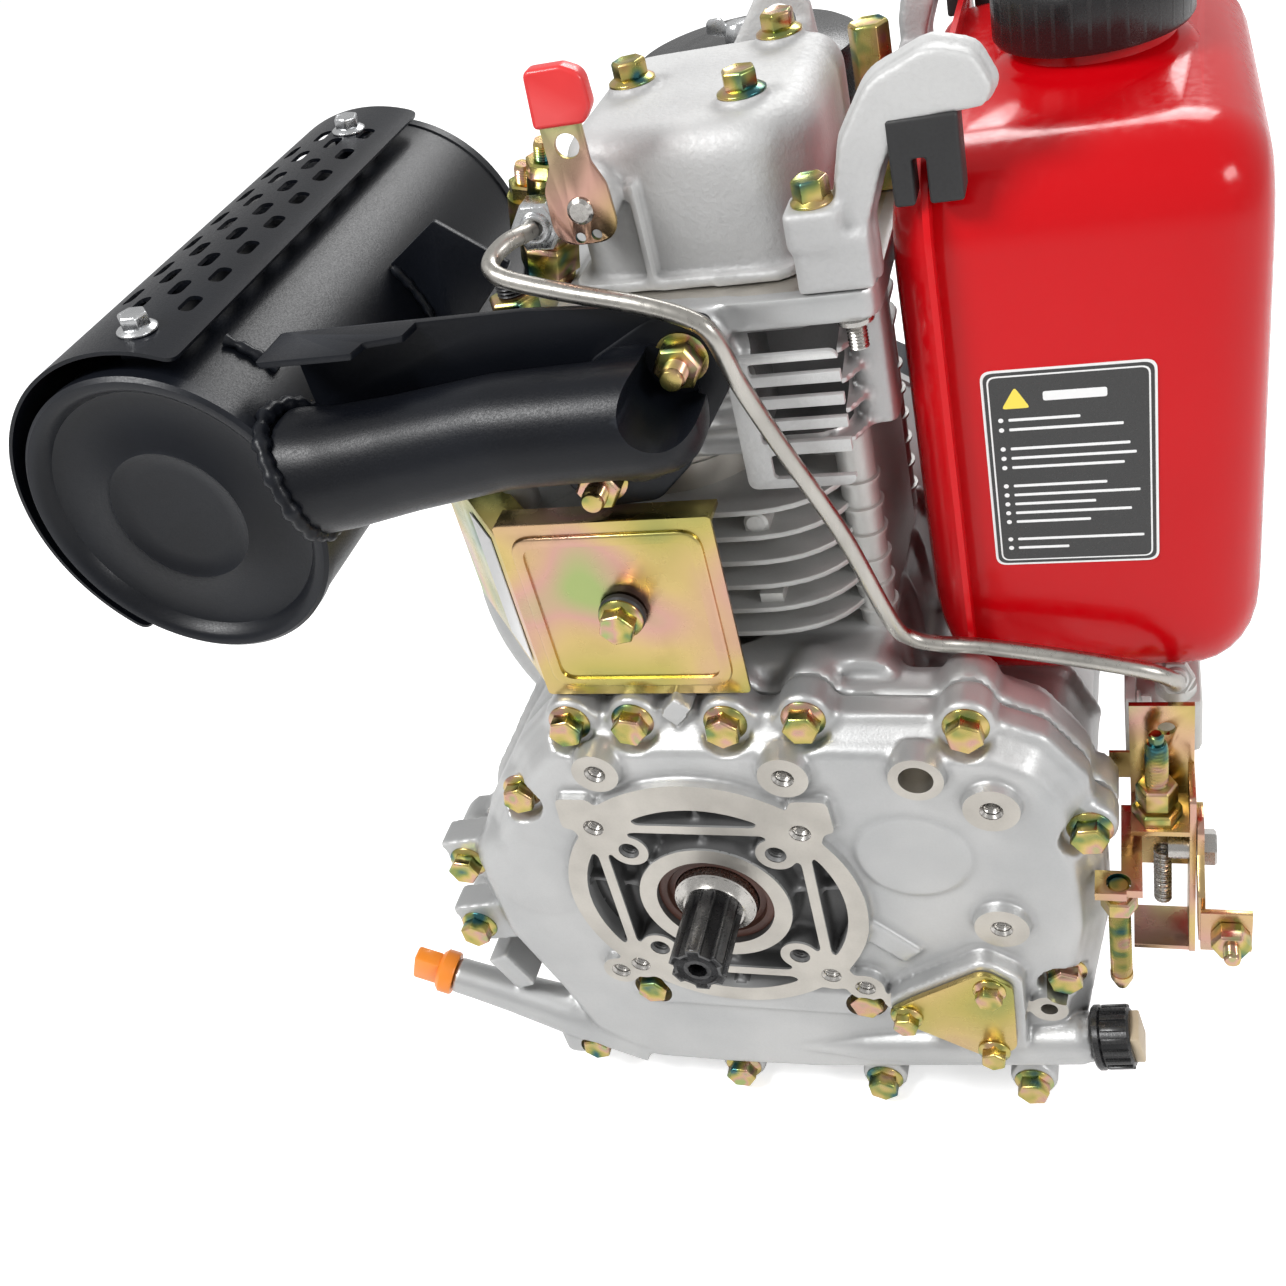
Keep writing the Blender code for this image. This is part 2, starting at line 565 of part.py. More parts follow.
def decompression_lever():
    x, z = LIFTER_AXIS
    plate = prism(rounded([(x - 11, z - 8), (x + 11, z - 8), (x + 8, z + 30), (x - 6, z + 30)], 9, 3),
                  "Y", 48, 50)
    spindle = disc(3.2, "Y", 44, 58, LIFTER_AXIS, 12)
    built("decompression_lever", "zinc_yellow", plate, added=[spindle],
          removed=[disc(3.0, "Y", 40, 60, (x + 0.5, z + 20), 10)], pivot=on_axis(LIFTER_AXIS))
    grip = prism(rounded([(x - 6, z + 30 + GAP), (x + 12, z + 30 + GAP), (x + 11, z + 44), (x + 2, z + 48),
                          (x - 8, z + 48)], 4, 2), "Y", 45.5, 52.5)
    put("decompression_grip", grip, "grip_red", on_axis(LIFTER_AXIS))


def head_nut():
    put("head_nut", prism(circle(6.4, 6, (90.5, 134)), "Z", HEAD_TOP_Z + GAP, 318), "zinc_yellow")


# ---- injection ----------------------------------------------------------------------------------
INJECTOR_FOOT = Vector((-37, 90, 238))
INJECTOR_DIRECTION = Vector((17, -11, 62)).normalized()


def injector():
    parts = [disc(8.0, "Z", -20, 28, sides=12), prism(circle(11.5, 6), "Z", 26, 40),
             disc(5.0, "Z", 38, 66, sides=10)]
    body, collar, top = (aimed(shape, INJECTOR_FOOT, INJECTOR_DIRECTION) for shape in parts)
    built("injector", "zinc_yellow", body, added=[collar, top])


def fuel_pipe():
    tube("high_pressure_pipe", "machined_steel", FUEL_PIPE_POINTS, 3.2, 7.0)
    start, second = Vector(FUEL_PIPE_POINTS[0]), Vector(FUEL_PIPE_POINTS[1])
    nut = aimed(prism(circle(9.5, 6), "Z", 5, 17), start, second - start)
    hole = aimed(disc(5.0, "Z", -10, 30, sides=12), start, second - start)
    built("pipe_nut", "zinc_silver", nut, removed=[hole])


FUEL_PIPE_POINTS = [(-21.5, 75, 286.5), (-20.5, 62, 287.5), (-22, 52, 289), (-26, 44, 289.5),
                    (-29.5, 37, 287.5), (-28, 31, 285.5), (-20, 27, 283), (0, 24, 278), (25, 20, 273),
                    (41, 18.5, 267), (47.5, 18.5, 260), (52, 22, 240), (60, 25.5, 215), (75, 33, 170),
                    (87, 38, 125), (93, 41, 114), (103, 42, 110), (120, 41, 109), (150, 40, 104),
                    (178, 40, 97), (188, 45, 88), (190, 56, 76), (190, 66, 69.4)]


def injection_pump():
    body = box((174, 66, 30), (200, 98, 58))
    flange = box((170.4, 58, 24), (175, 106, 66))
    delivery = disc(8.0, "Z", 56, 62, (190, 74), 12)
    valve = aimed(disc(6.5, "Z", -14, 0, sides=10), (190, 68, 68), (0, -0.83, 0.55))
    inlet = disc(6.0, "Y", 90, 110, (188, 43), 10)
    built("injection_pump", "cast_iron", body, added=[flange, delivery, valve, inlet])


# ---- exhaust ------------------------------------------------------------------------------------
def muffler():
    radius, (front, back) = MUFFLER_RADIUS, MUFFLER_Y
    profile = [(0, front + 3), (30, front + 3), (33, front + 5), (54, front + 5), (57, front),
               (radius, front), (radius, back), (57, back), (54, back - 5), (0, back - 5)]
    outlet = disc(14.0, "Z", 120, 170, (MUFFLER_AXIS[0] - 14, 205), 14)
    stays = [aimed_about_muffler(box((-12, -7, MUFFLER_RADIUS - 3), (12, 7, GUARD_RADIUS - 1.8)), turn, y)
             for turn, y in ((84, 16), (84, 212), (222, 16), (222, 212))]
    built("muffler", "black_steel", turned(profile, "Y", MUFFLER_AXIS, 24), added=[outlet] + stays,
          removed=[turned([(0, 20), (58, 20), (58, 230), (0, 230)], "Y", MUFFLER_AXIS, 20),
                   disc(12.0, "Z", 110, 190, (MUFFLER_AXIS[0] - 14, 205), 14)])


def muffler_guard():
    inner, outer = GUARD_RADIUS, GUARD_RADIUS + 1.6
    start, end, steps = math.radians(66), math.radians(232), 18
    angles = [start + (end - start) * i / steps for i in range(steps + 1)]
    cx, cz = MUFFLER_AXIS
    arc = [(cx + outer * math.cos(a), cz + outer * math.sin(a)) for a in angles]
    arc += [(cx + inner * math.cos(a), cz + inner * math.sin(a)) for a in reversed(angles)]
    put("muffler_guard", prism(arc, "Y", -2, 238), "black_steel")


def aimed_about_muffler(shape, degrees, y):
    """A shape made above the origin, swung to an angle round the muffler's axis."""
    moved(shape, turn=90 - degrees, about="Y")
    bmesh.ops.translate(shape, vec=(MUFFLER_AXIS[0], y, MUFFLER_AXIS[1]), verts=shape.verts)
    return shape


PIPE_RISE = 5.0                      # degrees, from the silencer up to the port


def exhaust_pipe():
    pipe = disc(21.0, "X", -118, 24, (6, 228), 16)
    cap = moved(turned([(0, 0), (21, 0), (19.5, 8), (15, 14.8), (8, 19.0), (0, 20.4)], "X", (6, 228), 16),
                offset=(23.5, 0, 0))
    bore = disc(18.0, "X", -130, 18, (6, 228), 16)
    for shape in (pipe, cap, bore):
        moved(shape, turn=-PIPE_RISE, about="Y", pivot=(-112, 6, 228))
    neck = disc(19.0, "Y", 6, 28, (14, 234), 16)
    flange = prism(rounded([(-22, 206), (-12, 192), (20, 200), (46, 240), (44, 262), (26, 264), (0, 250)], 9),
                   "Y", 26, 31.5)
    neck_bore = disc(15.0, "Y", 8, 40, (14, 232), 16)
    saddle = disc(MUFFLER_RADIUS + 2 * GAP, "Y", -40, 300, MUFFLER_AXIS, 32)
    built("exhaust_pipe", "black_steel", pipe, added=[cap, neck, flange],
          removed=[bore, neck_bore, saddle])


def muffler_stay():
    web = box((-112, 27, 251), (-26, 29.4, 272))
    lip = box((-112, 8, 269.6), (-40, 29, 272))
    saddle = disc(MUFFLER_RADIUS + 2 * GAP, "Y", -40, 300, MUFFLER_AXIS, 32)
    built("muffler_stay", "black_steel", web, added=[lip], removed=[saddle])


# ---- cooling shrouds ----------------------------------------------------------------------------
def air_deflector():
    front = prism(rounded([(-54, 106), (30, 106), (32, 190), (-54, 190)], 3, 1), "Y", 18, 20)
    lip = box((-54, 18, 187), (32, 30, 189.4))
    side_outline = [(-54, 18), (-52.4, 20), (-104, 84), (-106, 82)]
    side = prism(side_outline, "Z", 110, 186)
    built("air_deflector", "zinc_yellow", front, added=[lip, side],
          removed=[disc(5.0, "Y", 0, 40, DEFLECTOR_BOLT, 12)])


def volute(extra):
    """The blower housing's outline: a circle whose radius grows towards the cylinder, plus a margin."""
    result = []
    for i in range(40):
        angle = 2 * math.pi * i / 40
        grow = max(0.0, math.cos(angle - math.radians(142))) ** 2
        radius = 124 + 48 * grow + extra
        result.append((radius * math.cos(angle), radius * math.sin(angle)))
    return result


def blower_housing():
    front, back = BLOWER_Y
    inner = prism(volute(-4), "Y", front + 4, back + 5)
    neck = prism(rounded([(-60, 60), (70, 60), (70, 190), (-90, 190)], 12), "Y", front, front + 26)
    neck_hollow = prism(rounded([(-56, 50), (66, 50), (66, 186), (-86, 186)], 12), "Y", front + 4, front + 22)
    duct = box((-52, front - 10, 112), (62, front + 10, 182))
    built("blower_housing", "cast_alloy", prism(volute(0), "Y", front, back), added=[neck],
          removed=[inner, neck_hollow, duct, disc(30.0, "Y", front - 5, front + 10, sides=24)])


def flywheel():
    rim = turned([(19.8, 172), (40, 172), (44, 190), (70, 190), (74, 172), (100, 172), (100, 214), (84, 220),
                  (40, 222), (19.8, 222)], "Y", sides=24)
    hub_hole = turned([(0, 160), (19.6, 160), (15.4, 224), (15.4, 260), (0, 260)], "Y", sides=16)
    blades = []
    for i in range(10):
        blades.append(moved(box((62, 212, -1.5), (FAN_RADIUS, 246, 1.5)), turn=36 * i, about="Y"))
    built("flywheel", "cast_alloy", rim, added=blades, removed=[hub_hole])
    nut = prism(circle(16, 6), "Y", 222 + GAP, 238)
    cup = turned([(0, 222 + GAP), (52, 222 + GAP), (52, 272), (49, 272), (49, 226), (0, 226)], "Y", sides=28)
    built("starter_cup", "machined_steel", cup, added=[nut],
          removed=[disc(15.6, "Y", 200, 228, sides=16), disc(9.4, "Y", 200, 260, sides=12)])


def recoil_starter():
    back = STARTER_BACK_Y
    shell = turned([(30, 262 + GAP), (118, 262 + GAP), (118, 266), (98, 268), (92, back - 6), (80, back),
                    (0, back), (0, back - 4), (78, back - 4), (88, back - 10), (93, 266), (30, 266)], "Y",
                   sides=28)
    vents = [moved(box((40, back - 15, -4), (72, back + 5, 4)), turn=45 * i, about="Y") for i in range(8)]
    shell_open = disc(60.0, "Y", 255, 270, sides=28)
    guide = box((-100, 290, -42), (-84, 312, -18))
    rope_hole = disc(4.6, "X", -130, -60, STARTER_ROPE, 10)
    post = disc(9.0, "Y", 284, back - 2, sides=12)
    built("starter_housing", "black_steel", shell, added=[guide, post],
          removed=[shell_open, gathered(vents), rope_hole])
    rope = disc(2.2, "X", -112, 44, STARTER_ROPE, 8)
    put("starter_rope", rope, "plastic_black", (-112, *STARTER_ROPE))
    grip = turned([(0, -150), (7, -150), (10, -144), (9, -128), (12, -118), (8, -112.4), (0, -112.4)], "X",
                  STARTER_ROPE, 16)
    put("starter_handle", grip, "plastic_black", (-112, *STARTER_ROPE))


# ---- fuel tank ----------------------------------------------------------------------------------
def tank_shell():
    """Rings of the tank's outline in Y and Z, from the inner side over the seam to the outer side."""
    y0, y1 = TANK_Y
    z0, z1 = TANK_Z
    rings = [(98, 26, 26), (102, 12, 14), (108, 5, 6), (TANK_SEAM_X, 0, 0), (170, 0, 0), (203, 2, 3),
             (213, 6, 8), (220, 16, 18)]
    shape = bmesh.new()
    loops = []
    for x, trim_y, trim_z in rings:
        corner = [(y0 + trim_y, z0 + trim_z), (y1 - trim_y, z0 + trim_z), (y1 - trim_y, z1 - trim_z),
                  (y0 + trim_y, z1 - trim_z)]
        loops.append([shape.verts.new((x, y, z)) for y, z in rounded(corner, 26, 2)])
    for before, after in zip(loops, loops[1:]):
        for i in range(len(before)):
            j = (i + 1) % len(before)
            shape.faces.new((before[i], before[j], after[j], after[i]))
    shape.faces.new(loops[0])
    shape.faces.new(loops[-1])
    bmesh.ops.recalc_face_normals(shape, faces=shape.faces)
    return shape


def tank_hollow():
    hollow = tank_shell()
    middle = Vector((155, (TANK_Y[0] + TANK_Y[1]) / 2, (TANK_Z[0] + TANK_Z[1]) / 2))
    for vertex in hollow.verts:
        offset = vertex.co - middle
        vertex.co = middle + Vector((offset.x * 0.955, offset.y * 0.975, offset.z * 0.978))
    return hollow


def fuel_tank():
    y0, y1 = TANK_Y
    z0, z1 = TANK_Z
    seam = [(y0 - 7, z0 - 7), (y1 + 7, z0 - 7), (y1 + 7, z1 + 7), (y0 - 7, z1 + 7)]
    flange = prism(rounded(seam, 30, 3), "X", TANK_SEAM_X - 1.2, TANK_SEAM_X + 1.2)
    neck = turned([(0, z1 - 6), (33, z1 - 6), (31, z1 + 3), (27, z1 + 6), (27, z1 + 14), (0, z1 + 14)], "Z",
                  FILLER, 24)
    built("fuel_tank", "tank_red", tank_shell(), added=[flange, neck],
          removed=[tank_hollow(), disc(24.0, "Z", z1 - 20, z1 + 30, FILLER, 20),
                   disc(7.4, "Z", z0 - 10, z0 + 20, COCK, 12)])


def tank_cap():
    top = TANK_Z[1]
    profile = [(0, top + 15), (27.6, top + 15), (27.6, top + 8), (33, top + 8), (34, top + 14),
               (34, top + 28), (31, top + 32), (0, top + 32)]
    put("fuel_cap", turned(profile, "Z", FILLER, 28), "plastic_black")


def fuel_cock():
    x, y = COCK
    z = TANK_Z[0]
    built("fuel_cock", "zinc_yellow", disc(7.0, "Z", z - 20, z + 8, (x, y), 12),
          added=[disc(11.0, "Z", z - 8, z - GAP, (x, y), 6), disc(6.5, "X", x - 14, x + 6, (y, z - 15), 12),
                 disc(4.0, "Y", y - 26, y, (x, z - 15), 10)])
    built("fuel_cock_lever", "grip_red", box((x + 9, y - 4, z - 42), (x + 12, y + 4, z - 10)),
          added=[disc(6.0, "X", x + 7.5, x + 12, (y, z - 15), 12)], pivot=(x + 8, y, z - 15))
    tube("fuel_hose", "rubber_black", [(x, y - 27, z - 15), (x, y - 44, z - 16), (x - 1, 150, z - 24),
                                       (x - 2, 128, z - 30), (x - 2, 110.5, z - 31)], 5.0, 14)


def tank_brackets():
    """A cast arm at each end of the tank reaches over its seam and grips it through a rubber block."""
    seam_top = TANK_Z[1] + 7
    foot_z = HEAD_TOP_Z + GAP
    for name, y in (("front", 48), ("rear", 240)):
        arm = prism(rounded([(78, foot_z), (96.5, foot_z), (96.5, 276), (104, 300), (104, 312), (136, 312),
                             (139, 316), (132, 328), (118, 328), (94, 314), (78, 290)], 3, 1), "Y", y, y + 12)
        if name == "front":
            links = [box((74, 46, foot_z), (96.5, 62, 282))]
        else:
            links = [box((84.5, 150, foot_z), (96.5, 166, 276)), box((84.5, 160, 262), (96.5, y + 12, 276))]
        built(f"tank_bracket_{name}", "cast_alloy", arm, added=links)
        block = box((TANK_SEAM_X - 7, y, seam_top - 11), (TANK_SEAM_X + 11, y + 12, 312 - GAP))
        built(f"tank_buffer_{name}", "rubber_black", block,
              removed=[box((TANK_SEAM_X - 2.4, 0, 200), (TANK_SEAM_X + 2.4, 300, seam_top + GAP))])


# ---- intake -------------------------------------------------------------------------------------
def intake():
    x, y = centre = (20, 230)
    elbow = disc(18.0, "Y", 176 + GAP, y - 8, (x, 228), 16)
    upright = disc(18.0, "Z", 214, 246, centre, 16)
    hollow = [disc(14.0, "Y", 170, y, (x, 228), 12), disc(14.0, "Z", 222, 260, centre, 12)]
    built("intake_elbow", "cast_alloy", elbow, added=[upright], removed=hollow)
    base = turned([(14.5, 246 + GAP), (50, 246 + GAP), (50, 262), (47, 262), (47, 249), (14.5, 249)], "Z",
                  centre, 28)
    put("air_cleaner_base", base, "plastic_black")
    lid = turned([(0, 284), (48.5, 284), (48.5, 263), (51, 263), (51, 284), (46, 289), (0, 291)], "Z",
                 centre, 28)
    put("air_cleaner_lid", lid, "plastic_black")
    wings = box((x - 13, y - 2, 293.5), (x + 13, y + 2, 301.5))
    put("wing_nut", union_of(wings, disc(6.0, "Z", 291 + GAP, 297, centre, 10)), "zinc_silver", (x, y, 291))


def lifting_eye():
    outline = [(-6, 250), (66, 250), (70, 262), (64, 318), (58, 326), (46, 326), (36, 312), (2, 266),
               (-6, 262)]
    built("lifting_eye", "cast_alloy", prism(rounded(outline, 4, 1), "Y", 168, 174),
          added=[box((-6, 166.4, 250), (66, 170, 258))],
          removed=[disc(6.5, "Y", 150, 200, (52, 313), 12)])


# ---- speed control on the tank side -------------------------------------------------------------
LEVER_AXIS = (36.0, 6.0)      # Y and Z of the speed lever's pivot
BRACKET_X = 194.0             # inner face of the control bracket's side plate


def speed_control():
    y, z = LEVER_AXIS
    outer = BRACKET_X + 2.4
    side = prism(rounded([(28, -52), (52, -52), (52, 40), (28, 40)], 4, 1), "X", BRACKET_X, outer)
    plates = [box((172, 50, -20), (outer, 52.4, 70)), box((172, 28, 20), (outer, 51, 22.4)),
              box((172, 30, -52), (outer, 52, -49.6)), box((168, 4, 10), (176, 51, 14)),
              box((158, 2, 10), (170, 14.4, 14)), box((164, 51, 30), (173, 52.4, 44))]
    built("control_bracket", "zinc_yellow", side, added=plates,
          removed=[disc(5.4, "X", 180, 210, (y, z), 12), disc(4.8, "Z", -10, 18, (167, 8.2), 10)])
    inner, cap = outer + GAP, outer + 3
    lever = prism(rounded([(y - 10, z - 8), (y + 10, z - 8), (y + 9, z + 20), (y - 9, z + 20)], 7, 2), "X",
                  inner, cap)
    arm = prism(rounded([(y - 30, z - 26), (y - 14, z - 30), (y + 8, z - 8), (y - 6, z + 8), (y - 22, z - 4)],
                        6, 2), "X", inner, cap)
    lug = box((inner + 0.6, y - 30, z - 28), (outer + 20, y - 27.5, z - 6))
    built("speed_lever", "zinc_yellow", lever,
          added=[arm, lug, disc(5.0, "X", BRACKET_X - 8, cap + 3, (y, z), 12)], pivot=(outer, y, z))
    clamp = union_of(prism(circle(6.5, 6), "Z", 0, 8), disc(3.4, "Z", 0, 14, sides=8))
    put("cable_clamp", aimed(clamp, (outer + 12, y - 30 - GAP, z - 17), (0, -1, 0)), "zinc_yellow",
        (outer, y, z))
    limiter = union_of(union_of(prism(circle(7.0, 6), "Z", 24, 38), disc(4.6, "Z", 22.4 + GAP, 62, sides=10)),
                       prism(circle(8.4, 6), "Z", 22.4 + GAP, 27))
    put("fuel_limiter", moved(limiter, offset=(182, 38, 0)), "zinc_yellow")
    screw = union_of(union_of(disc(4.4, "Z", -58, 4, sides=10), prism(circle(6.2, 6), "Z", -8, -1)),
                     disc(2.4, "Z", -64, -57, sides=8))
    put("idle_screw", moved(screw, offset=(167, 8.2, 8)), "zinc_yellow")


# ---- oil fillers --------------------------------------------------------------------------------
DIP_START = Vector((-102, 17, -108))
DIP_DIRECTION = Vector((-63, 0, 26)).normalized()
FILLER_START = Vector((72, 6, -100))
FILLER_DIRECTION = Vector((79, 0, 14)).normalized()


def oil_fillers():
    foot = DIP_START + DIP_DIRECTION * (62 + GAP)
    cap = union_of(turned([(0, 0), (11, 0), (11, 7), (9, 9), (0, 9)], "Z", sides=18),
                   box((-8.5, -4, 8), (8.5, 4, 22)))
    cap = union_of(cap, disc(4.2, "Z", -50, 0.5, sides=8))
    put("oil_dipstick", aimed(cap, foot, DIP_DIRECTION), "plastic_orange", foot)
    plug = union_of(turned([(0, 0), (14, 0), (14, 3), (12, 4), (12, 12), (0, 12)], "Z", sides=18),
                    box((-8.5, -8.5, 11), (8.5, 8.5, 20)))
    plug = union_of(plug, disc(6.8, "Z", -20, 0.5, sides=10))
    foot = FILLER_START + FILLER_DIRECTION * (84 + GAP)
    put("oil_filler_plug", aimed(plug, foot, FILLER_DIRECTION), "plastic_black", foot)


# ---- assembly -----------------------------------------------------------------------------------
def clear_scene():
    for item in list(bpy.data.objects):
        bpy.data.objects.remove(item)


def main():
    clear_scene()
    crankcase()
    crankcase_cover()
    oil_pump_cover()
    oil_seal()
    crankshaft()
    camshaft()
    balance_shaft()
    piston_and_rod()
    barrel()
    cylinder_head()
    valve_gear()
    rocker_cover()
    decompression_lever()
    head_nut()
    injector()
    fuel_pipe()
    injection_pump()
    muffler()
    muffler_guard()
    exhaust_pipe()
    muffler_stay()
    air_deflector()
    blower_housing()
    flywheel()
    recoil_starter()
    fuel_tank()
    tank_cap()
    fuel_cock()
    tank_brackets()
    intake()
    lifting_eye()
    speed_control()
    oil_fillers()


main()
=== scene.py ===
"""Visual model of the air-cooled diesel engine with a splined output shaft.

Lengths are millimetres from the engine datum, which is the crankshaft axis where it crosses the
machined output face: +X to the fuel tank, +Y to the flywheel, +Z up.  The datum's place comes from
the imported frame, and every mesh is turned into metres when its object is made.
"""

import math

import bmesh
import bpy
from mathutils import Matrix, Vector


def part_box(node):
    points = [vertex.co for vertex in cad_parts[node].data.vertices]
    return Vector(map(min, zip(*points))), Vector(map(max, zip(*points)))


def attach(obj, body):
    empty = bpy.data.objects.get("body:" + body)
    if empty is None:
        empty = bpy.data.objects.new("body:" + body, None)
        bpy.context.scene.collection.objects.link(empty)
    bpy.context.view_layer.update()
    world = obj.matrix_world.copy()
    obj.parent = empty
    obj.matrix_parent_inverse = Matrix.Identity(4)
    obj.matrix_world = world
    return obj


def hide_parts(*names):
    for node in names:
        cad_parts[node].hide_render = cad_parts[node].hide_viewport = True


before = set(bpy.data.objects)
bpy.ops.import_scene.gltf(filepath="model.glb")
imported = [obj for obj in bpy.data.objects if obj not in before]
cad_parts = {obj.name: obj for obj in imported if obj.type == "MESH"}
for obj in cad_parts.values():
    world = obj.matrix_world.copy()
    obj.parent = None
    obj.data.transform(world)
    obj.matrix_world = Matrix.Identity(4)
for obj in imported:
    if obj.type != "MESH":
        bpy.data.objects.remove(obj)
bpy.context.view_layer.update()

MM = 0.001
SEAL_LOW, SEAL_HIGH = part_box("oil_seal")
SEAL_FRONT = 3.0
DATUM = Vector(((SEAL_LOW.x + SEAL_HIGH.x) / 2 / MM, SEAL_LOW.y / MM - SEAL_FRONT,
                (SEAL_LOW.z + SEAL_HIGH.z) / 2 / MM))
TAU = 2 * math.pi

JOINT_Y = 30.0
CYLINDER_Y = 98.0
CAM_AXIS = (87.0, 25.0)
BALANCE_AXIS = (-78.0, 0.0)
MUFFLER_AXIS = (-170.0, 216.0)
LIFTER_AXIS = (2.0, 296.0)
TANK_SEAM_X = 115.0
TANK_Y = (54.0, 246.0)
TANK_Z = (74.0, 292.0)
FILLER = (165.0, 150.0)
COCK = (190.0, 215.0)
CASE_OUTLINE = [(-60, 104), (-92, 66), (-134, 18), (-144, -8), (-144, -56), (-128, -88), (-110, -138),
                (-96, -150), (136, -150), (148, -134), (154, -60), (160, 0), (169, 24), (169, 52),
                (150, 84), (124, 104)]
BODY_OUTLINE = CASE_OUTLINE[:11] + [(160, 0), (163, 30), (150, 56), (86, 60), (84, 104)]
SKIN_OUTLINE = [(-58, 92), (52, 92), (118, 90), (140, 80), (154, 60), (158, 24), (159, -14), (153, -52),
                (147, -92), (129, -117), (28, -131), (-20, -133), (-60, -133), (-90, -111), (-100, -78),
                (-116, -36), (-117, 1), (-97, 41), (-73, 77)]
REAR_OUTLINE = [(-60, 100), (-86, 64), (-116, 20), (-126, -8), (-124, -56), (-112, -90), (-100, -132),
                (-92, -146), (130, -146), (142, -130), (148, -60), (154, 0), (157, 30), (146, 54), (88, 62),
                (84, 104)]
COVER_BOLTS = [(-47, 94), (-19, 95), (20, 94), (52, 96), (114, 92), (-80, 54), (-122, 6), (-131, -40),
               (157, 38), (144, -50), (-90, -126), (-16, -140), (55, -141), (126, -134)]
WELL_BOLTS = [(-45, -68), (57, -69)]
PUMP_BOLTS = [(77, -62), (114, -40), (113, -82)]
TAPPED_BOSSES = [(-36, 78), (43, 77), (122, 61), (121, -8)]


# ---- materials ----------------------------------------------------------------------------------
def new_group(name, inputs, outputs):
    """An empty shader node group with float inputs and the named outputs."""
    group = bpy.data.node_groups.new(name, "ShaderNodeTree")
    for title, value in inputs:
        made = group.interface.new_socket(title, in_out="INPUT", socket_type="NodeSocketFloat")
        made.default_value = value
    for title, kind in outputs:
        group.interface.new_socket(title, in_out="OUTPUT", socket_type=kind)
    return group, group.nodes.new("NodeGroupInput"), group.nodes.new("NodeGroupOutput")


def math_node(tree, operation, first, second=None, clamp=False):
    node = tree.nodes.new("ShaderNodeMath")
    node.operation = operation
    node.use_clamp = clamp
    for socket, value in zip(node.inputs, (first, second)):
        if isinstance(value, (int, float)):
            socket.default_value = value
        elif value is not None:
            tree.links.new(value, socket)
    return node.outputs[0]


def noise(tree, place, scale, detail=3.0, rough=0.55):
    node = tree.nodes.new("ShaderNodeTexNoise")
    node.inputs["Detail"].default_value = detail
    node.inputs["Roughness"].default_value = rough
    if isinstance(scale, (int, float)):
        node.inputs["Scale"].default_value = scale
    else:
        tree.links.new(scale, node.inputs["Scale"])
    tree.links.new(place, node.inputs["Vector"])
    return node.outputs["Fac"]


def ramp(tree, factor, stops):
    node = tree.nodes.new("ShaderNodeValToRGB")
    elements = node.color_ramp.elements
    while len(elements) < len(stops):
        elements.new(0.5)
    for element, (position, colour) in zip(elements, stops):
        element.position = position
        element.color = (*colour, 1.0) if len(colour) == 3 else colour
    tree.links.new(factor, node.inputs["Fac"])
    return node.outputs["Color"]


def make_grain_group():
    """Cast or painted skin: a height for bump, a cloudy mask and a fine speckle mask."""
    group, inputs, outputs = new_group("skin_grain", [("Grain", 900.0), ("Cloud", 18.0)],
                                       [("Height", "NodeSocketFloat"), ("Clouds", "NodeSocketFloat"),
                                        ("Speckle", "NodeSocketFloat")])
    place = group.nodes.new("ShaderNodeTexCoord").outputs["Object"]
    fine = noise(group, place, inputs.outputs["Grain"], 4.0, 0.6)
    broad = noise(group, place, inputs.outputs["Cloud"], 3.0, 0.5)
    middle = noise(group, place, math_node(group, "MULTIPLY", inputs.outputs["Grain"], 0.25), 2.0)
    height = math_node(group, "ADD", math_node(group, "MULTIPLY", fine, 0.6),
                       math_node(group, "MULTIPLY", middle, 0.4))
    group.links.new(height, outputs.inputs["Height"])
    group.links.new(broad, outputs.inputs["Clouds"])
    group.links.new(fine, outputs.inputs["Speckle"])
    return group


def make_edge_group():
    """Masks from pointiness: convex edges, where paint wears thin and a painted highlight stands for castings catching
    the light, and concave hollows, for painted shade.
    """
    group, inputs, outputs = new_group("edge_wear_highlight_hollow_shade", [("Low", 0.52), ("High", 0.6)],
                                       [("Edge", "NodeSocketFloat"), ("HollowShade", "NodeSocketFloat")])
    bend = group.nodes.new("ShaderNodeNewGeometry").outputs["Pointiness"]
    edge = group.nodes.new("ShaderNodeMapRange")
    group.links.new(bend, edge.inputs["Value"])
    group.links.new(inputs.outputs["Low"], edge.inputs["From Min"])
    group.links.new(inputs.outputs["High"], edge.inputs["From Max"])
    # The hollow mask rises in concave places; it carries painted shade.
    hollow = group.nodes.new("ShaderNodeMapRange")
    group.links.new(bend, hollow.inputs["Value"])
    hollow.inputs["From Min"].default_value = 0.5
    hollow.inputs["From Max"].default_value = 0.43
    group.links.new(edge.outputs["Result"], outputs.inputs["Edge"])
    group.links.new(hollow.outputs["Result"], outputs.inputs["HollowShade"])
    return group


def make_passivation_group():
    """Yellow-chromate rainbow: gold with drifts of pink, green and blue."""
    group, inputs, outputs = new_group("chromate_rainbow", [("Scale", 30.0), ("Shift", 0.0)],
                                       [("Color", "NodeSocketColor"), ("Film", "NodeSocketFloat")])
    place = group.nodes.new("ShaderNodeTexCoord").outputs["Object"]
    film = noise(group, place, inputs.outputs["Scale"], 1.5, 0.5)
    shifted = math_node(group, "ADD", film, inputs.outputs["Shift"])
    colour = ramp(group, shifted, [(0.28, (0.05, 0.15, 0.16)), (0.37, (0.24, 0.30, 0.10)),
                                   (0.45, (0.50, 0.42, 0.13)), (0.53, (0.62, 0.46, 0.19)),
                                   (0.61, (0.62, 0.36, 0.29)), (0.70, (0.38, 0.46, 0.18))])
    group.links.new(colour, outputs.inputs["Color"])
    group.links.new(film, outputs.inputs["Film"])
    return group


GRAIN = make_grain_group()
EDGES = make_edge_group()
RAINBOW = make_passivation_group()


def place_group(tree, group, **values):
    node = tree.nodes.new("ShaderNodeGroup")
    node.node_tree = group
    for name, value in values.items():
        node.inputs[name].default_value = value
    return node


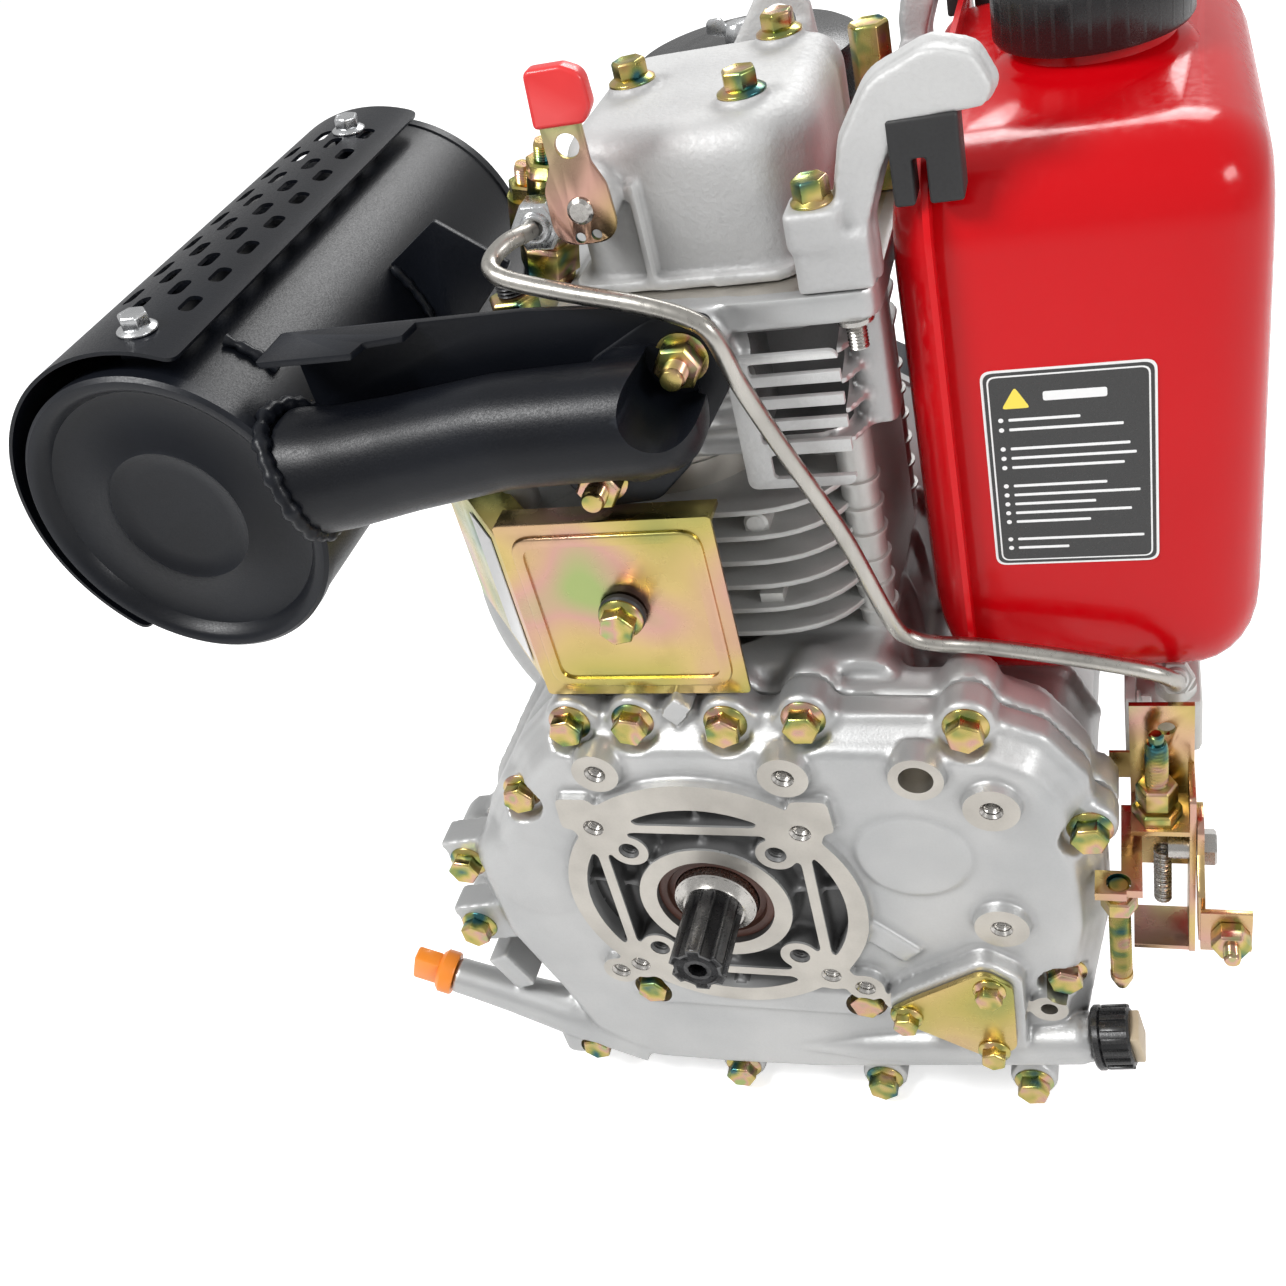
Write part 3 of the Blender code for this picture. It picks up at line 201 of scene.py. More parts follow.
def mix_colours(tree, factor, first, second):
    node = tree.nodes.new("ShaderNodeMix")
    node.data_type = "RGBA"
    for socket, value in ((node.inputs[6], first), (node.inputs[7], second)):
        if isinstance(value, tuple):
            socket.default_value = (*value, 1.0)
        else:
            tree.links.new(value, socket)
    if isinstance(factor, (int, float)):
        node.inputs[0].default_value = factor
    else:
        tree.links.new(factor, node.inputs[0])
    return node.outputs[2]


def blank_material(name, roughness, metallic, coat=0.0, coat_roughness=0.1):
    made = bpy.data.materials.new(name)
    made.use_nodes = True
    tree = made.node_tree
    shader = tree.nodes["Principled BSDF"]
    shader.inputs["Roughness"].default_value = roughness
    shader.inputs["Metallic"].default_value = metallic
    shader.inputs["Coat Weight"].default_value = coat
    shader.inputs["Coat Roughness"].default_value = coat_roughness
    return made, tree, shader


def add_bump(tree, shader, height, strength, distance=0.0004):
    bump = tree.nodes.new("ShaderNodeBump")
    bump.inputs["Strength"].default_value = strength
    bump.inputs["Distance"].default_value = distance
    tree.links.new(height, bump.inputs["Height"])
    tree.links.new(bump.outputs["Normal"], shader.inputs["Normal"])


def spread(tree, factor, low, high):
    """A value that runs from low to high as the factor runs from 0.35 to 0.65."""
    node = tree.nodes.new("ShaderNodeMapRange")
    node.inputs["From Min"].default_value = 0.35
    node.inputs["From Max"].default_value = 0.65
    node.inputs["To Min"].default_value = low
    node.inputs["To Max"].default_value = high
    tree.links.new(factor, node.inputs["Value"])
    return node.outputs["Result"]


def skin_material(name, dark, light, edge, roughness, metallic, grain, bump, coat=0.0, cloud=18.0,
                  hollow=None, edge_range=(0.52, 0.62)):
    """A grainy skin with cloudy tone, lighter edges that are partly worn paint and partly painted highlight, and
    painted shade in the hollows.
    """
    made, tree, shader = blank_material(name, roughness, metallic, coat)
    skin = place_group(tree, GRAIN, Grain=grain, Cloud=cloud)
    wear_highlight_shade = place_group(tree, EDGES, Low=edge_range[0], High=edge_range[1])
    base = mix_colours(tree, spread(tree, skin.outputs["Clouds"], 0.0, 1.0), dark, light)
    # Lighter edge colour: partly worn paint, partly painted highlight.
    base = mix_colours(tree, wear_highlight_shade.outputs["Edge"], base, edge)
    # Painted shade: the hollow colour darkens concave places where shade falls.
    if hollow:
        base = mix_colours(tree, wear_highlight_shade.outputs["HollowShade"], base, hollow)
    tree.links.new(base, shader.inputs["Base Color"])
    tree.links.new(spread(tree, skin.outputs["Speckle"], roughness - 0.06, roughness + 0.08),
                   shader.inputs["Roughness"])
    add_bump(tree, shader, skin.outputs["Height"], bump)
    return made


def chromate_material(name, scale, shift, roughness):
    made, tree, shader = blank_material(name, roughness, 1.0)
    colour = place_group(tree, RAINBOW, Scale=scale, Shift=shift)
    skin = place_group(tree, GRAIN, Grain=1500.0, Cloud=60.0)
    tree.links.new(colour.outputs["Color"], shader.inputs["Base Color"])
    tree.links.new(spread(tree, skin.outputs["Clouds"], roughness - 0.06, roughness + 0.1),
                   shader.inputs["Roughness"])
    add_bump(tree, shader, skin.outputs["Height"], 0.12, 0.0002)
    return made


def machined_material(name, colour, roughness, scale, stretch):
    """Cut metal: fine parallel tool marks over a slightly cloudy bright surface."""
    made, tree, shader = blank_material(name, roughness, 1.0)
    place = tree.nodes.new("ShaderNodeTexCoord").outputs["Object"]
    mapping = tree.nodes.new("ShaderNodeMapping")
    mapping.inputs["Scale"].default_value = stretch
    tree.links.new(place, mapping.inputs["Vector"])
    marks = noise(tree, mapping.outputs["Vector"], scale, 4.0, 0.65)
    cloud = noise(tree, place, 40.0, 2.0)
    dark = tuple(c * 0.82 for c in colour)
    tree.links.new(mix_colours(tree, spread(tree, cloud, 0, 1), dark, colour), shader.inputs["Base Color"])
    tree.links.new(spread(tree, marks, roughness - 0.05, roughness + 0.09), shader.inputs["Roughness"])
    add_bump(tree, shader, marks, 0.18, 0.0002)
    return made


# The hollow colours are painted shade in concave places; the edge colours are partly worn paint and partly painted
# highlight.
CAST = skin_material("cast_aluminium", (0.47, 0.475, 0.475), (0.56, 0.56, 0.555), (0.68, 0.68, 0.67), 0.42, 0.68,
                     1100.0, 0.25, hollow=(0.24, 0.24, 0.24))
SAND_CAST = skin_material("sand_cast_aluminium", (0.50, 0.50, 0.50), (0.60, 0.60, 0.595), (0.70, 0.70, 0.69),
                          0.62, 0.45, 520.0, 1.1, hollow=(0.30, 0.30, 0.30))
# Painted shade: a dark cast finish laid on recesses and gaps where shade falls.
PAINTED_SHADE_CAST = skin_material("cast_recess_painted_shade", (0.13, 0.13, 0.13), (0.20, 0.20, 0.20), (0.30, 0.30, 0.30), 0.5, 0.6,
                            1100.0, 0.3)
MACHINED = machined_material("machined_aluminium", (0.60, 0.57, 0.52), 0.40, 900.0, (1, 1, 1))
STEEL = machined_material("bright_steel", (0.58, 0.56, 0.53), 0.24, 700.0, (1, 1, 1))
PIPE_STEEL = machined_material("drawn_steel", (0.52, 0.50, 0.46), 0.30, 500.0, (1, 1, 0.15))
IRON = skin_material("painted_cast_iron", (0.30, 0.305, 0.31), (0.38, 0.385, 0.38), (0.62, 0.62, 0.60), 0.48, 0.5,
                     800.0, 0.4, hollow=(0.12, 0.12, 0.125), edge_range=(0.51, 0.57))
BLACK_PAINT = skin_material("satin_black_paint", (0.0028, 0.0034, 0.0055), (0.0050, 0.0062, 0.0095),
                            (0.013, 0.015, 0.020), 0.34, 0.0, 1400.0, 0.16)
BLACK_PAINT.node_tree.nodes["Principled BSDF"].inputs["Specular IOR Level"].default_value = 0.27
BLACK_STEEL = skin_material("blackened_steel", (0.012, 0.012, 0.014), (0.03, 0.03, 0.032), (0.20, 0.20, 0.20),
                            0.30, 0.75, 900.0, 0.15)
RED_PAINT = skin_material("red_tank_gloss", (0.50, 0.001, 0.004), (0.56, 0.0015, 0.005), (0.60, 0.004, 0.008),
                          0.18, 0.0, 260.0, 0.02, coat=0.12, cloud=6.0)
RED_PAINT.node_tree.nodes["Principled BSDF"].inputs["Specular IOR Level"].default_value = 0.22
RED_GRIP = skin_material("red_dipped_grip", (0.60, 0.018, 0.02), (0.72, 0.03, 0.03), (0.76, 0.06, 0.06),
                         0.36, 0.0, 900.0, 0.12, coat=0.2)
RUBBER = skin_material("moulded_rubber", (0.010, 0.010, 0.011), (0.016, 0.016, 0.017), (0.03, 0.03, 0.03),
                       0.52, 0.0, 1000.0, 0.2)
BLACK_PLASTIC = skin_material("moulded_black_plastic", (0.008, 0.008, 0.009), (0.013, 0.013, 0.014),
                              (0.03, 0.03, 0.03), 0.28, 0.0, 1200.0, 0.12)
ORANGE = skin_material("moulded_orange_plastic", (0.78, 0.17, 0.006), (0.88, 0.22, 0.01), (0.92, 0.32, 0.04),
                       0.34, 0.0, 900.0, 0.12, coat=0.2)
SEAL_BROWN = skin_material("seal_rubber", (0.055, 0.018, 0.010), (0.085, 0.028, 0.016), (0.12, 0.045, 0.03),
                           0.42, 0.0, 900.0, 0.1)
ROPE = skin_material("woven_rope", (0.015, 0.015, 0.016), (0.05, 0.05, 0.052), (0.08, 0.08, 0.08), 0.75, 0.0,
                     1600.0, 0.8)
CHROMATE = chromate_material("yellow_chromate", 90.0, -0.02, 0.24)
CHROMATE_SHEET = chromate_material("chromated_sheet", 14.0, 0.055, 0.24)
CHROMATE_DARK = chromate_material("dark_chromate", 60.0, -0.09, 0.26)
SILVER_ZINC = machined_material("silver_zinc", (0.72, 0.73, 0.74), 0.24, 900.0, (1, 1, 1))
LABEL_BLACK = skin_material("label_black", (0.006, 0.006, 0.006), (0.009, 0.009, 0.009), (0.02, 0.02, 0.02),
                            0.30, 0.0, 1200.0, 0.03, coat=0.4)
LABEL_WHITE = skin_material("label_white", (0.72, 0.72, 0.71), (0.80, 0.80, 0.79), (0.82, 0.82, 0.82), 0.4,
                            0.0, 900.0, 0.03)
LABEL_YELLOW = skin_material("label_yellow", (0.80, 0.60, 0.02), (0.85, 0.66, 0.03), (0.88, 0.7, 0.1), 0.4,
                             0.0, 900.0, 0.03)


# ---- modelling tools ----------------------------------------------------------------------------
AXES = {"X": (Vector((0, 1, 0)), Vector((0, 0, 1)), Vector((1, 0, 0))),
        "Y": (Vector((1, 0, 0)), Vector((0, 0, 1)), Vector((0, 1, 0))),
        "Z": (Vector((1, 0, 0)), Vector((0, 1, 0)), Vector((0, 0, 1)))}


def soften(shape, edges, width, segments=3):
    bmesh.ops.bevel(shape, geom=edges, offset=width, offset_type="OFFSET", segments=segments, profile=0.5,
                    affect="EDGES", clamp_overlap=True, material=-1)


def prism(outline, axis, start, end, soft=0.0, segments=3, soft_both=False):
    """A flat outline extruded from start to end along an axis, its rim at start rounded by soft."""
    across, up, along = AXES[axis]
    shape = bmesh.new()
    rim = [shape.verts.new(across * a + up * b + along * start) for a, b in outline]
    face = shape.faces.new(rim)
    pushed = bmesh.ops.extrude_face_region(shape, geom=[face])
    moved_verts = [item for item in pushed["geom"] if isinstance(item, bmesh.types.BMVert)]
    bmesh.ops.translate(shape, verts=moved_verts, vec=along * (end - start))
    bmesh.ops.recalc_face_normals(shape, faces=shape.faces)
    if soft:
        far = [e for e in shape.edges if all(abs(v.co.dot(along) - start) < 1e-4 for v in e.verts)]
        if soft_both:
            far += [e for e in shape.edges if all(abs(v.co.dot(along) - end) < 1e-4 for v in e.verts)]
        soften(shape, far, soft, segments)
    return shape


def circle(radius, sides, centre=(0.0, 0.0), turn=0.0):
    angles = [TAU * (i + turn) / sides for i in range(sides)]
    return [(centre[0] + radius * math.cos(a), centre[1] + radius * math.sin(a)) for a in angles]


def disc(radius, axis, start, end, centre=(0.0, 0.0), sides=40, soft=0.0, segments=2):
    return prism(circle(radius, sides, centre, 0.5), axis, start, end, soft, segments)


def box(low, high, soft=0.0):
    shape = bmesh.new()
    bmesh.ops.create_cube(shape, size=1.0)
    bmesh.ops.scale(shape, vec=Vector(high) - Vector(low), verts=shape.verts)
    bmesh.ops.translate(shape, vec=(Vector(high) + Vector(low)) / 2, verts=shape.verts)
    if soft:
        soften(shape, shape.edges, soft, 2)
    return shape


def turned(profile, axis, centre=(0.0, 0.0), sides=48):
    """A closed profile of (radius, distance along the axis) points spun about the axis."""
    across, up, along = AXES[axis]
    base = across * centre[0] + up * centre[1]
    shape = bmesh.new()
    rim = [shape.verts.new(base + across * radius + along * reach) for radius, reach in profile]
    edges = [shape.edges.new((rim[i], rim[(i + 1) % len(rim)])) for i in range(len(rim))]
    bmesh.ops.spin(shape, geom=rim + edges, cent=base, axis=along, angle=TAU, steps=sides,
                   use_merge=True, use_duplicate=False)
    bmesh.ops.remove_doubles(shape, verts=shape.verts, dist=0.001)
    bmesh.ops.dissolve_degenerate(shape, dist=0.001, edges=shape.edges)
    bmesh.ops.recalc_face_normals(shape, faces=shape.faces)
    return shape


def rounded(points, radius, steps=6):
    """The outline with each corner replaced by an arc, whose radius may be given corner by corner."""
    result = []
    radii = radius if isinstance(radius, (list, tuple)) else [radius] * len(points)
    for i, corner in enumerate(points):
        here = Vector(corner)
        before = Vector(points[i - 1]) - here
        after = Vector(points[(i + 1) % len(points)]) - here
        half = before.angle(after) / 2
        trim = min(radii[i] / math.tan(half), before.length * 0.48, after.length * 0.48)
        start = here + before.normalized() * trim
        end = here + after.normalized() * trim
        for k in range(steps + 1):
            t = k / steps
            result.append(tuple(start * (1 - t) ** 2 + here * 2 * t * (1 - t) + end * t ** 2))
    return result


def inset(points, distance):
    area = sum(points[i - 1][0] * points[i][1] - points[i][0] * points[i - 1][1] for i in range(len(points)))
    side = 1.0 if area > 0 else -1.0
    result = []
    for i, corner in enumerate(points):
        here = Vector(corner)
        incoming = (here - Vector(points[i - 1])).normalized()
        outgoing = (Vector(points[(i + 1) % len(points)]) - here).normalized()
        normal_in = Vector((-incoming.y, incoming.x)) * side
        normal_out = Vector((-outgoing.y, outgoing.x)) * side
        bisector = (normal_in + normal_out).normalized()
        result.append(tuple(here + bisector * distance / max(0.3, bisector.dot(normal_in))))
    return result


def moved(shape, offset=(0, 0, 0), turn=0.0, about="Z", pivot=(0, 0, 0)):
    swing = Matrix.Rotation(math.radians(turn), 3, about)
    bmesh.ops.rotate(shape, verts=shape.verts, cent=pivot, matrix=swing)
    bmesh.ops.translate(shape, vec=offset, verts=shape.verts)
    return shape


def aimed(shape, place, direction):
    turn = Vector((0, 0, 1)).rotation_difference(Vector(direction).normalized()).to_matrix()
    bmesh.ops.rotate(shape, verts=shape.verts, cent=(0, 0, 0), matrix=turn)
    bmesh.ops.translate(shape, vec=place, verts=shape.verts)
    return shape


def gathered(shapes):
    whole = bmesh.new()
    for shape in shapes:
        held = bpy.data.meshes.new("held")
        shape.to_mesh(held)
        shape.free()
        whole.from_mesh(held)
        bpy.data.meshes.remove(held)
    return whole


def bar(start, end, width, depth_low, depth_high, axis="Y"):
    """A straight rib between two points of the plane across the axis, from one depth to another."""
    a, b = Vector(start), Vector(end)
    side = Vector((-(b - a).y, (b - a).x)).normalized() * width / 2
    outline = [tuple(a - side), tuple(b - side), tuple(b + side), tuple(a + side)]
    return prism(outline, axis, depth_low, depth_high)


def smooth_path(points, spacing):
    """Points at an even spacing along the Catmull-Rom curve through the given ones."""
    knots = [Vector(p) for p in points]
    knots = [knots[0] * 2 - knots[1]] + knots + [knots[-1] * 2 - knots[-2]]
    fine = []
    for i in range(1, len(knots) - 2):
        a, b, c, d = knots[i - 1:i + 3]
        for k in range(60):
            t = k / 60
            fine.append(0.5 * (2 * b + (c - a) * t + (2 * a - 5 * b + 4 * c - d) * t ** 2
                               + (3 * b - a - 3 * c + d) * t ** 3))
    fine.append(knots[-2])
    length = sum((fine[i + 1] - fine[i]).length for i in range(len(fine) - 1))
    count = max(2, round(length / spacing))
    result, walked, target = [fine[0]], 0.0, length / count
    for i in range(len(fine) - 1):
        walked += (fine[i + 1] - fine[i]).length
        if walked >= target * len(result) and len(result) < count:
            result.append(fine[i + 1])
    return result + [fine[-1]]


def swept(path, radius, sides=24):
    """A round bar along a path: one circle extruded from point to point, turned with the path."""
    shape = bmesh.new()
    radii = radius if isinstance(radius, (list, tuple)) else [radius] * len(path)
    heading = (path[1] - path[0]).normalized()
    ring = bmesh.ops.create_circle(shape, cap_ends=False, radius=radii[0], segments=sides)["verts"]
    turn = Vector((0, 0, 1)).rotation_difference(heading).to_matrix()
    bmesh.ops.rotate(shape, verts=ring, cent=(0, 0, 0), matrix=turn)
    bmesh.ops.translate(shape, verts=ring, vec=path[0])
    edges = list(shape.edges)
    bmesh.ops.contextual_create(shape, geom=edges)
    for i in range(1, len(path)):
        after = path[min(i + 1, len(path) - 1)]
        coming = (after - path[i - 1]).normalized()
        pushed = bmesh.ops.extrude_edge_only(shape, edges=edges)["geom"]
        ring = [item for item in pushed if isinstance(item, bmesh.types.BMVert)]
        edges = [item for item in pushed if isinstance(item, bmesh.types.BMEdge)]
        bmesh.ops.translate(shape, verts=ring, vec=path[i] - path[i - 1])
        swing = heading.rotation_difference(coming).to_matrix()
        bmesh.ops.rotate(shape, verts=ring, cent=path[i], matrix=swing)
        if radii[i] != radii[i - 1]:
            grow = radii[i] / radii[i - 1]
            bmesh.ops.scale(shape, vec=(grow,) * 3, space=Matrix.Translation(-path[i]), verts=ring)
        heading = coming
    bmesh.ops.contextual_create(shape, geom=edges)
    bmesh.ops.recalc_face_normals(shape, faces=shape.faces)
    return shape


def to_object(name, shape, materials, smooth=35):
    """An object at the origin from a shape in datum millimetres."""
    bmesh.ops.translate(shape, vec=DATUM, verts=shape.verts)
    bmesh.ops.scale(shape, vec=(MM, MM, MM), verts=shape.verts)
    mesh = bpy.data.meshes.new(name)
    shape.to_mesh(mesh)
    shape.free()
    for finish in materials:
        mesh.materials.append(finish)
    mesh.shade_smooth()
    mesh.set_sharp_from_angle(angle=math.radians(smooth))
    made = bpy.data.objects.new(name, mesh)
    bpy.context.scene.collection.objects.link(made)
    return made


def settle(made, smooth=35):
    """Applies an object's modifiers to its mesh."""
    graph = bpy.context.evaluated_depsgraph_get()
    final = bpy.data.meshes.new_from_object(made.evaluated_get(graph), depsgraph=graph)
    old = made.data
    name = old.name
    made.modifiers.clear()
    made.data = final
    bpy.data.meshes.remove(old)
    final.name = name
    final.shade_smooth()
    final.set_sharp_from_angle(angle=math.radians(smooth))
    return made


def cut_with(made, steps, smooth=35):
    """Exact Booleans in turn: (operation, shape, material of the faces it leaves)."""
    tools = []
    for number, (operation, shape, finish) in enumerate(steps):
        tool = to_object(f"{made.name}_tool{number}", shape, [finish])
        step = made.modifiers.new(f"step{number}", "BOOLEAN")
        step.operation = operation
        step.object = tool
        step.solver = "EXACT"
        step.material_mode = "TRANSFER"
        tools.append(tool)
    settle(made, smooth)
    for tool in tools:
        mesh = tool.data
        bpy.data.objects.remove(tool)
        bpy.data.meshes.remove(mesh)
    return made


def bevelled(made, width, segments=2, angle=30, smooth=35):
    """Rounds the sharp edges of a finished piece by a width in millimetres."""
    step = made.modifiers.new("edge", "BEVEL")
    step.width = width * MM
    step.segments = segments
    step.limit_method = "ANGLE"
    step.angle_limit = math.radians(angle)
    step.harden_normals = False
    step.use_clamp_overlap = True
    return settle(made, smooth)


def cast(name, shapes, finish, voxel, passes, carve=(), cut=(), smooth=35):
    """A casting: blocks carved, melted into one skin with soft fillets, then machined."""
    made = to_object(name, gathered(shapes), [finish])
    if carve:
        cut_with(made, [("DIFFERENCE", shape, finish) for shape in carve])
    melt = made.modifiers.new("melt", "REMESH")
    melt.mode = "VOXEL"
    melt.voxel_size = voxel * MM * 1.0
    melt.use_smooth_shade = True
    soft = made.modifiers.new("soft", "SMOOTH")
    soft.factor = 0.5
    soft.iterations = passes
    settle(made, 180)
    if cut:
        cut_with(made, [("DIFFERENCE", shape, surface) for shape, surface in cut], smooth)
    return made


def paint_where(made, finish, chosen):
    """Give one finish to the faces whose middle, in the engine's own millimetres, is chosen."""
    made.data.materials.append(finish)
    last = len(made.data.materials) - 1
    for face in made.data.polygons:
        if chosen(face.center / MM - DATUM):
            face.material_index = last


def fitted(made, body, slot, *replaced):
    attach(made, body)
    if replaced:
        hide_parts(*replaced)
    return made


# ---- fasteners ----------------------------------------------------------------------------------
def hexagon(across, low, high, chamfer=0.9, dish=0.5):
    """A hexagonal head along +Z with a chamfered rim and a shallow dish in its top."""
    apex = across / math.sqrt(3)
    shape = prism(circle(apex, 6), "Z", low, high - chamfer)
    top = [f for f in shape.faces if f.normal.z > 0.9]
    pushed = bmesh.ops.extrude_face_region(shape, geom=top)["geom"]
    rim = [item for item in pushed if isinstance(item, bmesh.types.BMVert)]
    bmesh.ops.delete(shape, geom=top, context="FACES_ONLY")
    bmesh.ops.translate(shape, verts=rim, vec=(0, 0, chamfer))
    centre = Matrix.Identity(4)
    bmesh.ops.scale(shape, vec=(0.88, 0.88, 1), verts=rim, space=centre)
    if dish:
        top = [f for f in shape.faces if f.normal.z > 0.9]
        bmesh.ops.inset_region(shape, faces=top, thickness=apex * 0.18, depth=0)
        inner = [f for f in shape.faces if f.normal.z > 0.95 and len(f.verts) == 6]
        bmesh.ops.translate(shape, verts=list(inner[0].verts) if inner else [], vec=(0, 0, -dish))
    return shape


def bolt_shape(across=13.0, flange=9.0, head=6.8):
    skirt = turned([(0, 0), (flange, 0), (flange, 0.9), (flange - 1.6, 1.9), (across * 0.5, 2.4), (0, 2.4)],
                   "Z", sides=32)
    return gathered([skirt, hexagon(across, 1.6, 1.6 + head)])


def threaded(radius, low, high, pitch=1.25, sides=20):
    """A stud end along +Z with ridged flanks."""
    profile = [(0, low), (radius, low)]
    count = int((high - low - 0.8) / pitch)
    for i in range(count):
        z = low + pitch * i
        profile += [(radius, z + 0.3), (radius * 0.86, z + pitch * 0.7)]
    profile += [(radius * 0.95, low + pitch * count), (radius * 0.8, high), (0, high)]
    return turned(profile, "Z", sides=sides)


def bolts(name, places, body, slot, finish=None, **sizes):
    """One object of several bolts: (seat, direction) pairs."""
    shapes = []
    for number, (seat, direction) in enumerate(places):
        one = moved(bolt_shape(**sizes), turn=37.0 * number + 11)
        shapes.append(aimed(one, seat, direction))
    made = to_object(name, gathered(shapes), [finish or CHROMATE], 28)
    return fitted(bevelled(made, 0.25, 2, 28, 40), body, slot)


# ---- crankcase cover ----------------------------------------------------------------------------
def crankcase_cover():
    proud = -3.0
    flange = prism(rounded(inset(SKIN_OUTLINE, -4), 8), "Y", 17, JOINT_Y, 1.2, 2)
    lugs = [disc(11.0, "Y", 14, JOINT_Y, place, 28, 1.0) for place in COVER_BOLTS]
    skirt = prism(rounded(SKIN_OUTLINE, 12), "Y", 12, 26, 5, 4)
    dome = prism(rounded(inset(SKIN_OUTLINE, 4), 16), "Y", 5.2, 20, 7, 6)
    bulge = turned([(0, 2.5), (12, 3.0), (22, 4.6), (29, 8), (32, 14), (0, 14)], "Y", (-84, 6), 48)
    outer = [(45, 46), (-44.9, 46), (-45, -45), (44.7, -45)]
    inner = [(32.6, 32.6), (-32.2, 32.2), (-32.6, -32.2), (32.4, -32.6)]
    ears = [(-56, -50.5), (59, -52.5)]
    scoops = [disc(11.4, "Y", -20, 14.0, place, 32) for place in COVER_BOLTS]
    pocket = disc(58.5, "Y", -20, 11.5, sides=64)
    wells = [disc(11.5, "Y", -20, 8.0, place, 32) for place in WELL_BOLTS]
    blocks = [flange] + lugs + [skirt, dome, bulge]
    base = to_object("base", gathered(blocks), [CAST])
    melt = base.modifiers.new("melt", "REMESH")
    melt.mode = "VOXEL"
    melt.voxel_size = 2.2 * MM
    settle(base, 180)
    cut_with(base, [("DIFFERENCE", gathered(scoops), CAST), ("DIFFERENCE", gathered([pocket]), CAST)])
    carved = bmesh.new()
    carved.from_mesh(base.data)
    bmesh.ops.scale(carved, vec=(1 / MM,) * 3, verts=carved.verts)
    bmesh.ops.translate(carved, vec=-DATUM, verts=carved.verts)
    mesh = base.data
    bpy.data.objects.remove(base)
    bpy.data.meshes.remove(mesh)

    top_arc = turned([(66.5, proud), (71.5, proud), (73.5, 12), (64, 12)], "Y", sides=72)
    for side in (1, -1):
        plane = Vector((side * 0.62, 0, 0.0))
        bmesh.ops.bisect_plane(top_arc, geom=top_arc.verts[:] + top_arc.edges[:] + top_arc.faces[:],
                               plane_co=(side * 48, 0, 52), plane_no=(side, 0, -0.1), clear_outer=True)
    bmesh.ops.bisect_plane(top_arc, geom=top_arc.verts[:] + top_arc.edges[:] + top_arc.faces[:],
                           plane_co=(0, 0, 40), plane_no=(0, 0, -1), clear_outer=True)
    bmesh.ops.holes_fill(top_arc, edges=[e for e in top_arc.edges if e.is_boundary], sides=0)
    bmesh.ops.recalc_face_normals(top_arc, faces=top_arc.faces)
    shapes = [carved, top_arc,
              turned([(58, proud), (66.5, proud), (67.2, 14), (57.6, 14)], "Y", sides=96),
              turned([(24.5, proud), (33.6, proud), (36.0, 16), (24.5, 16)], "Y", sides=64),
              disc(36.5, "Y", 9, 18, sides=48)]
    shapes += [disc(9.6, "Y", proud, 14, place, 28) for place in outer]
    shapes += [disc(8.8, "Y", proud, 14, place, 28) for place in inner]
    shapes += [disc(8.6, "Y", proud, 14, place, 28) for place in ears]
    for a, b in zip(outer, outer[1:] + outer[:1]):
        shapes.append(bar(a, b, 4.6, proud, 14))
    for a, b in zip(outer, inner):
        shapes.append(bar(a, b, 8.0, proud, 14))
    for a, b in ((outer[2], ears[0]), (outer[3], ears[1])):
        shapes.append(bar(a, b, 9.0, proud, 14))
    for x, z in ((-50.5, 57), (50.5, 58)):
        shapes.append(prism(rounded([(x - 9, z - 12), (x + 9, z - 12), (x + 8, z + 6), (x - 8, z + 6)], 3),
                            "Y", proud, 14))
    for angle in (8, 52, 90, 128, 172, 232, 270, 308):
        a = math.radians(angle)
        shapes.append(bar((33 * math.cos(a), 33 * math.sin(a)), (60 * math.cos(a), 60 * math.sin(a)), 2.8, 4.5, 14))
    for (x, z), radius in zip(TAPPED_BOSSES, (10.2, 10.4, 11.0, 11.2)):
        shapes.append(turned([(0, proud), (radius - 0.4, proud), (radius + 1.2, 10), (0, 10)], "Y", (x, z), 40))
    shapes.append(turned([(0, proud), (10.4, proud), (12, 10), (0, 10)], "Y", (95, 77), 40))
    shapes.append(turned([(0, proud), (7.6, proud), (9.4, 16), (0, 16)], "Y", (137, -62), 32))
    shapes.append(disc(23.0, "Y", 3.9, 10, (88, 29), 56, 1.0))
    shapes.append(bar((60, -12), (82, -33), 12, 2.4, 12))
    pump_pad = rounded([(62, -62), (78, -48), (112, -25), (128, -36), (127, -84), (110, -95), (90, -80)], 9)
    shapes.append(prism(pump_pad, "Y", -3.6, 14, 0.8, 2))
    shapes.append(prism(rounded([(-52, -60), (60, -60), (66, -78), (-54, -78)], 10), "Y", 2.5, 14, 3, 3))
    start = Vector((20, 8, -108))
    neck_end = Vector((72, 6, -100)) + Vector((79, 0, 14)).normalized() * 84
    along = neck_end - start
    neck = turned([(0, 0), (3, 0), (8.5, 34), (9.8, 60), (9.8, 96), (11.4, 97), (11.4, 132), (10.4, 133),
                   (10.4, along.length), (0, along.length)], "Z", sides=40)
    shapes.append(aimed(neck, start, along))
    dip_start = Vector((-102, 17, -108))
    dip = Vector((-63, 0, 26)).normalized()
    dip_tube = turned([(0, -45), (13, -45), (12, 0), (10, 30), (9.2, 50), (9.0, 62), (0, 62)], "Z", sides=36)
    shapes.append(aimed(dip_tube, dip_start, dip))
    shapes.append(bar((-128, -62), (-118, -84), 12, 11, 28))
    shapes.append(prism(rounded([(-108, -133), (-84, -133), (-84, -108), (-108, -112)], 5), "Y", 8, 26, 3, 3))
    shapes.append(bar((4, 97), (-3, 103), 12, 13, 29))
    for x, z in ((-122, 6), (-131, -40)):
        shapes.append(bar((x - 9, z - 1), (x + 26, z + 6), 25, 14.2, 29.6))

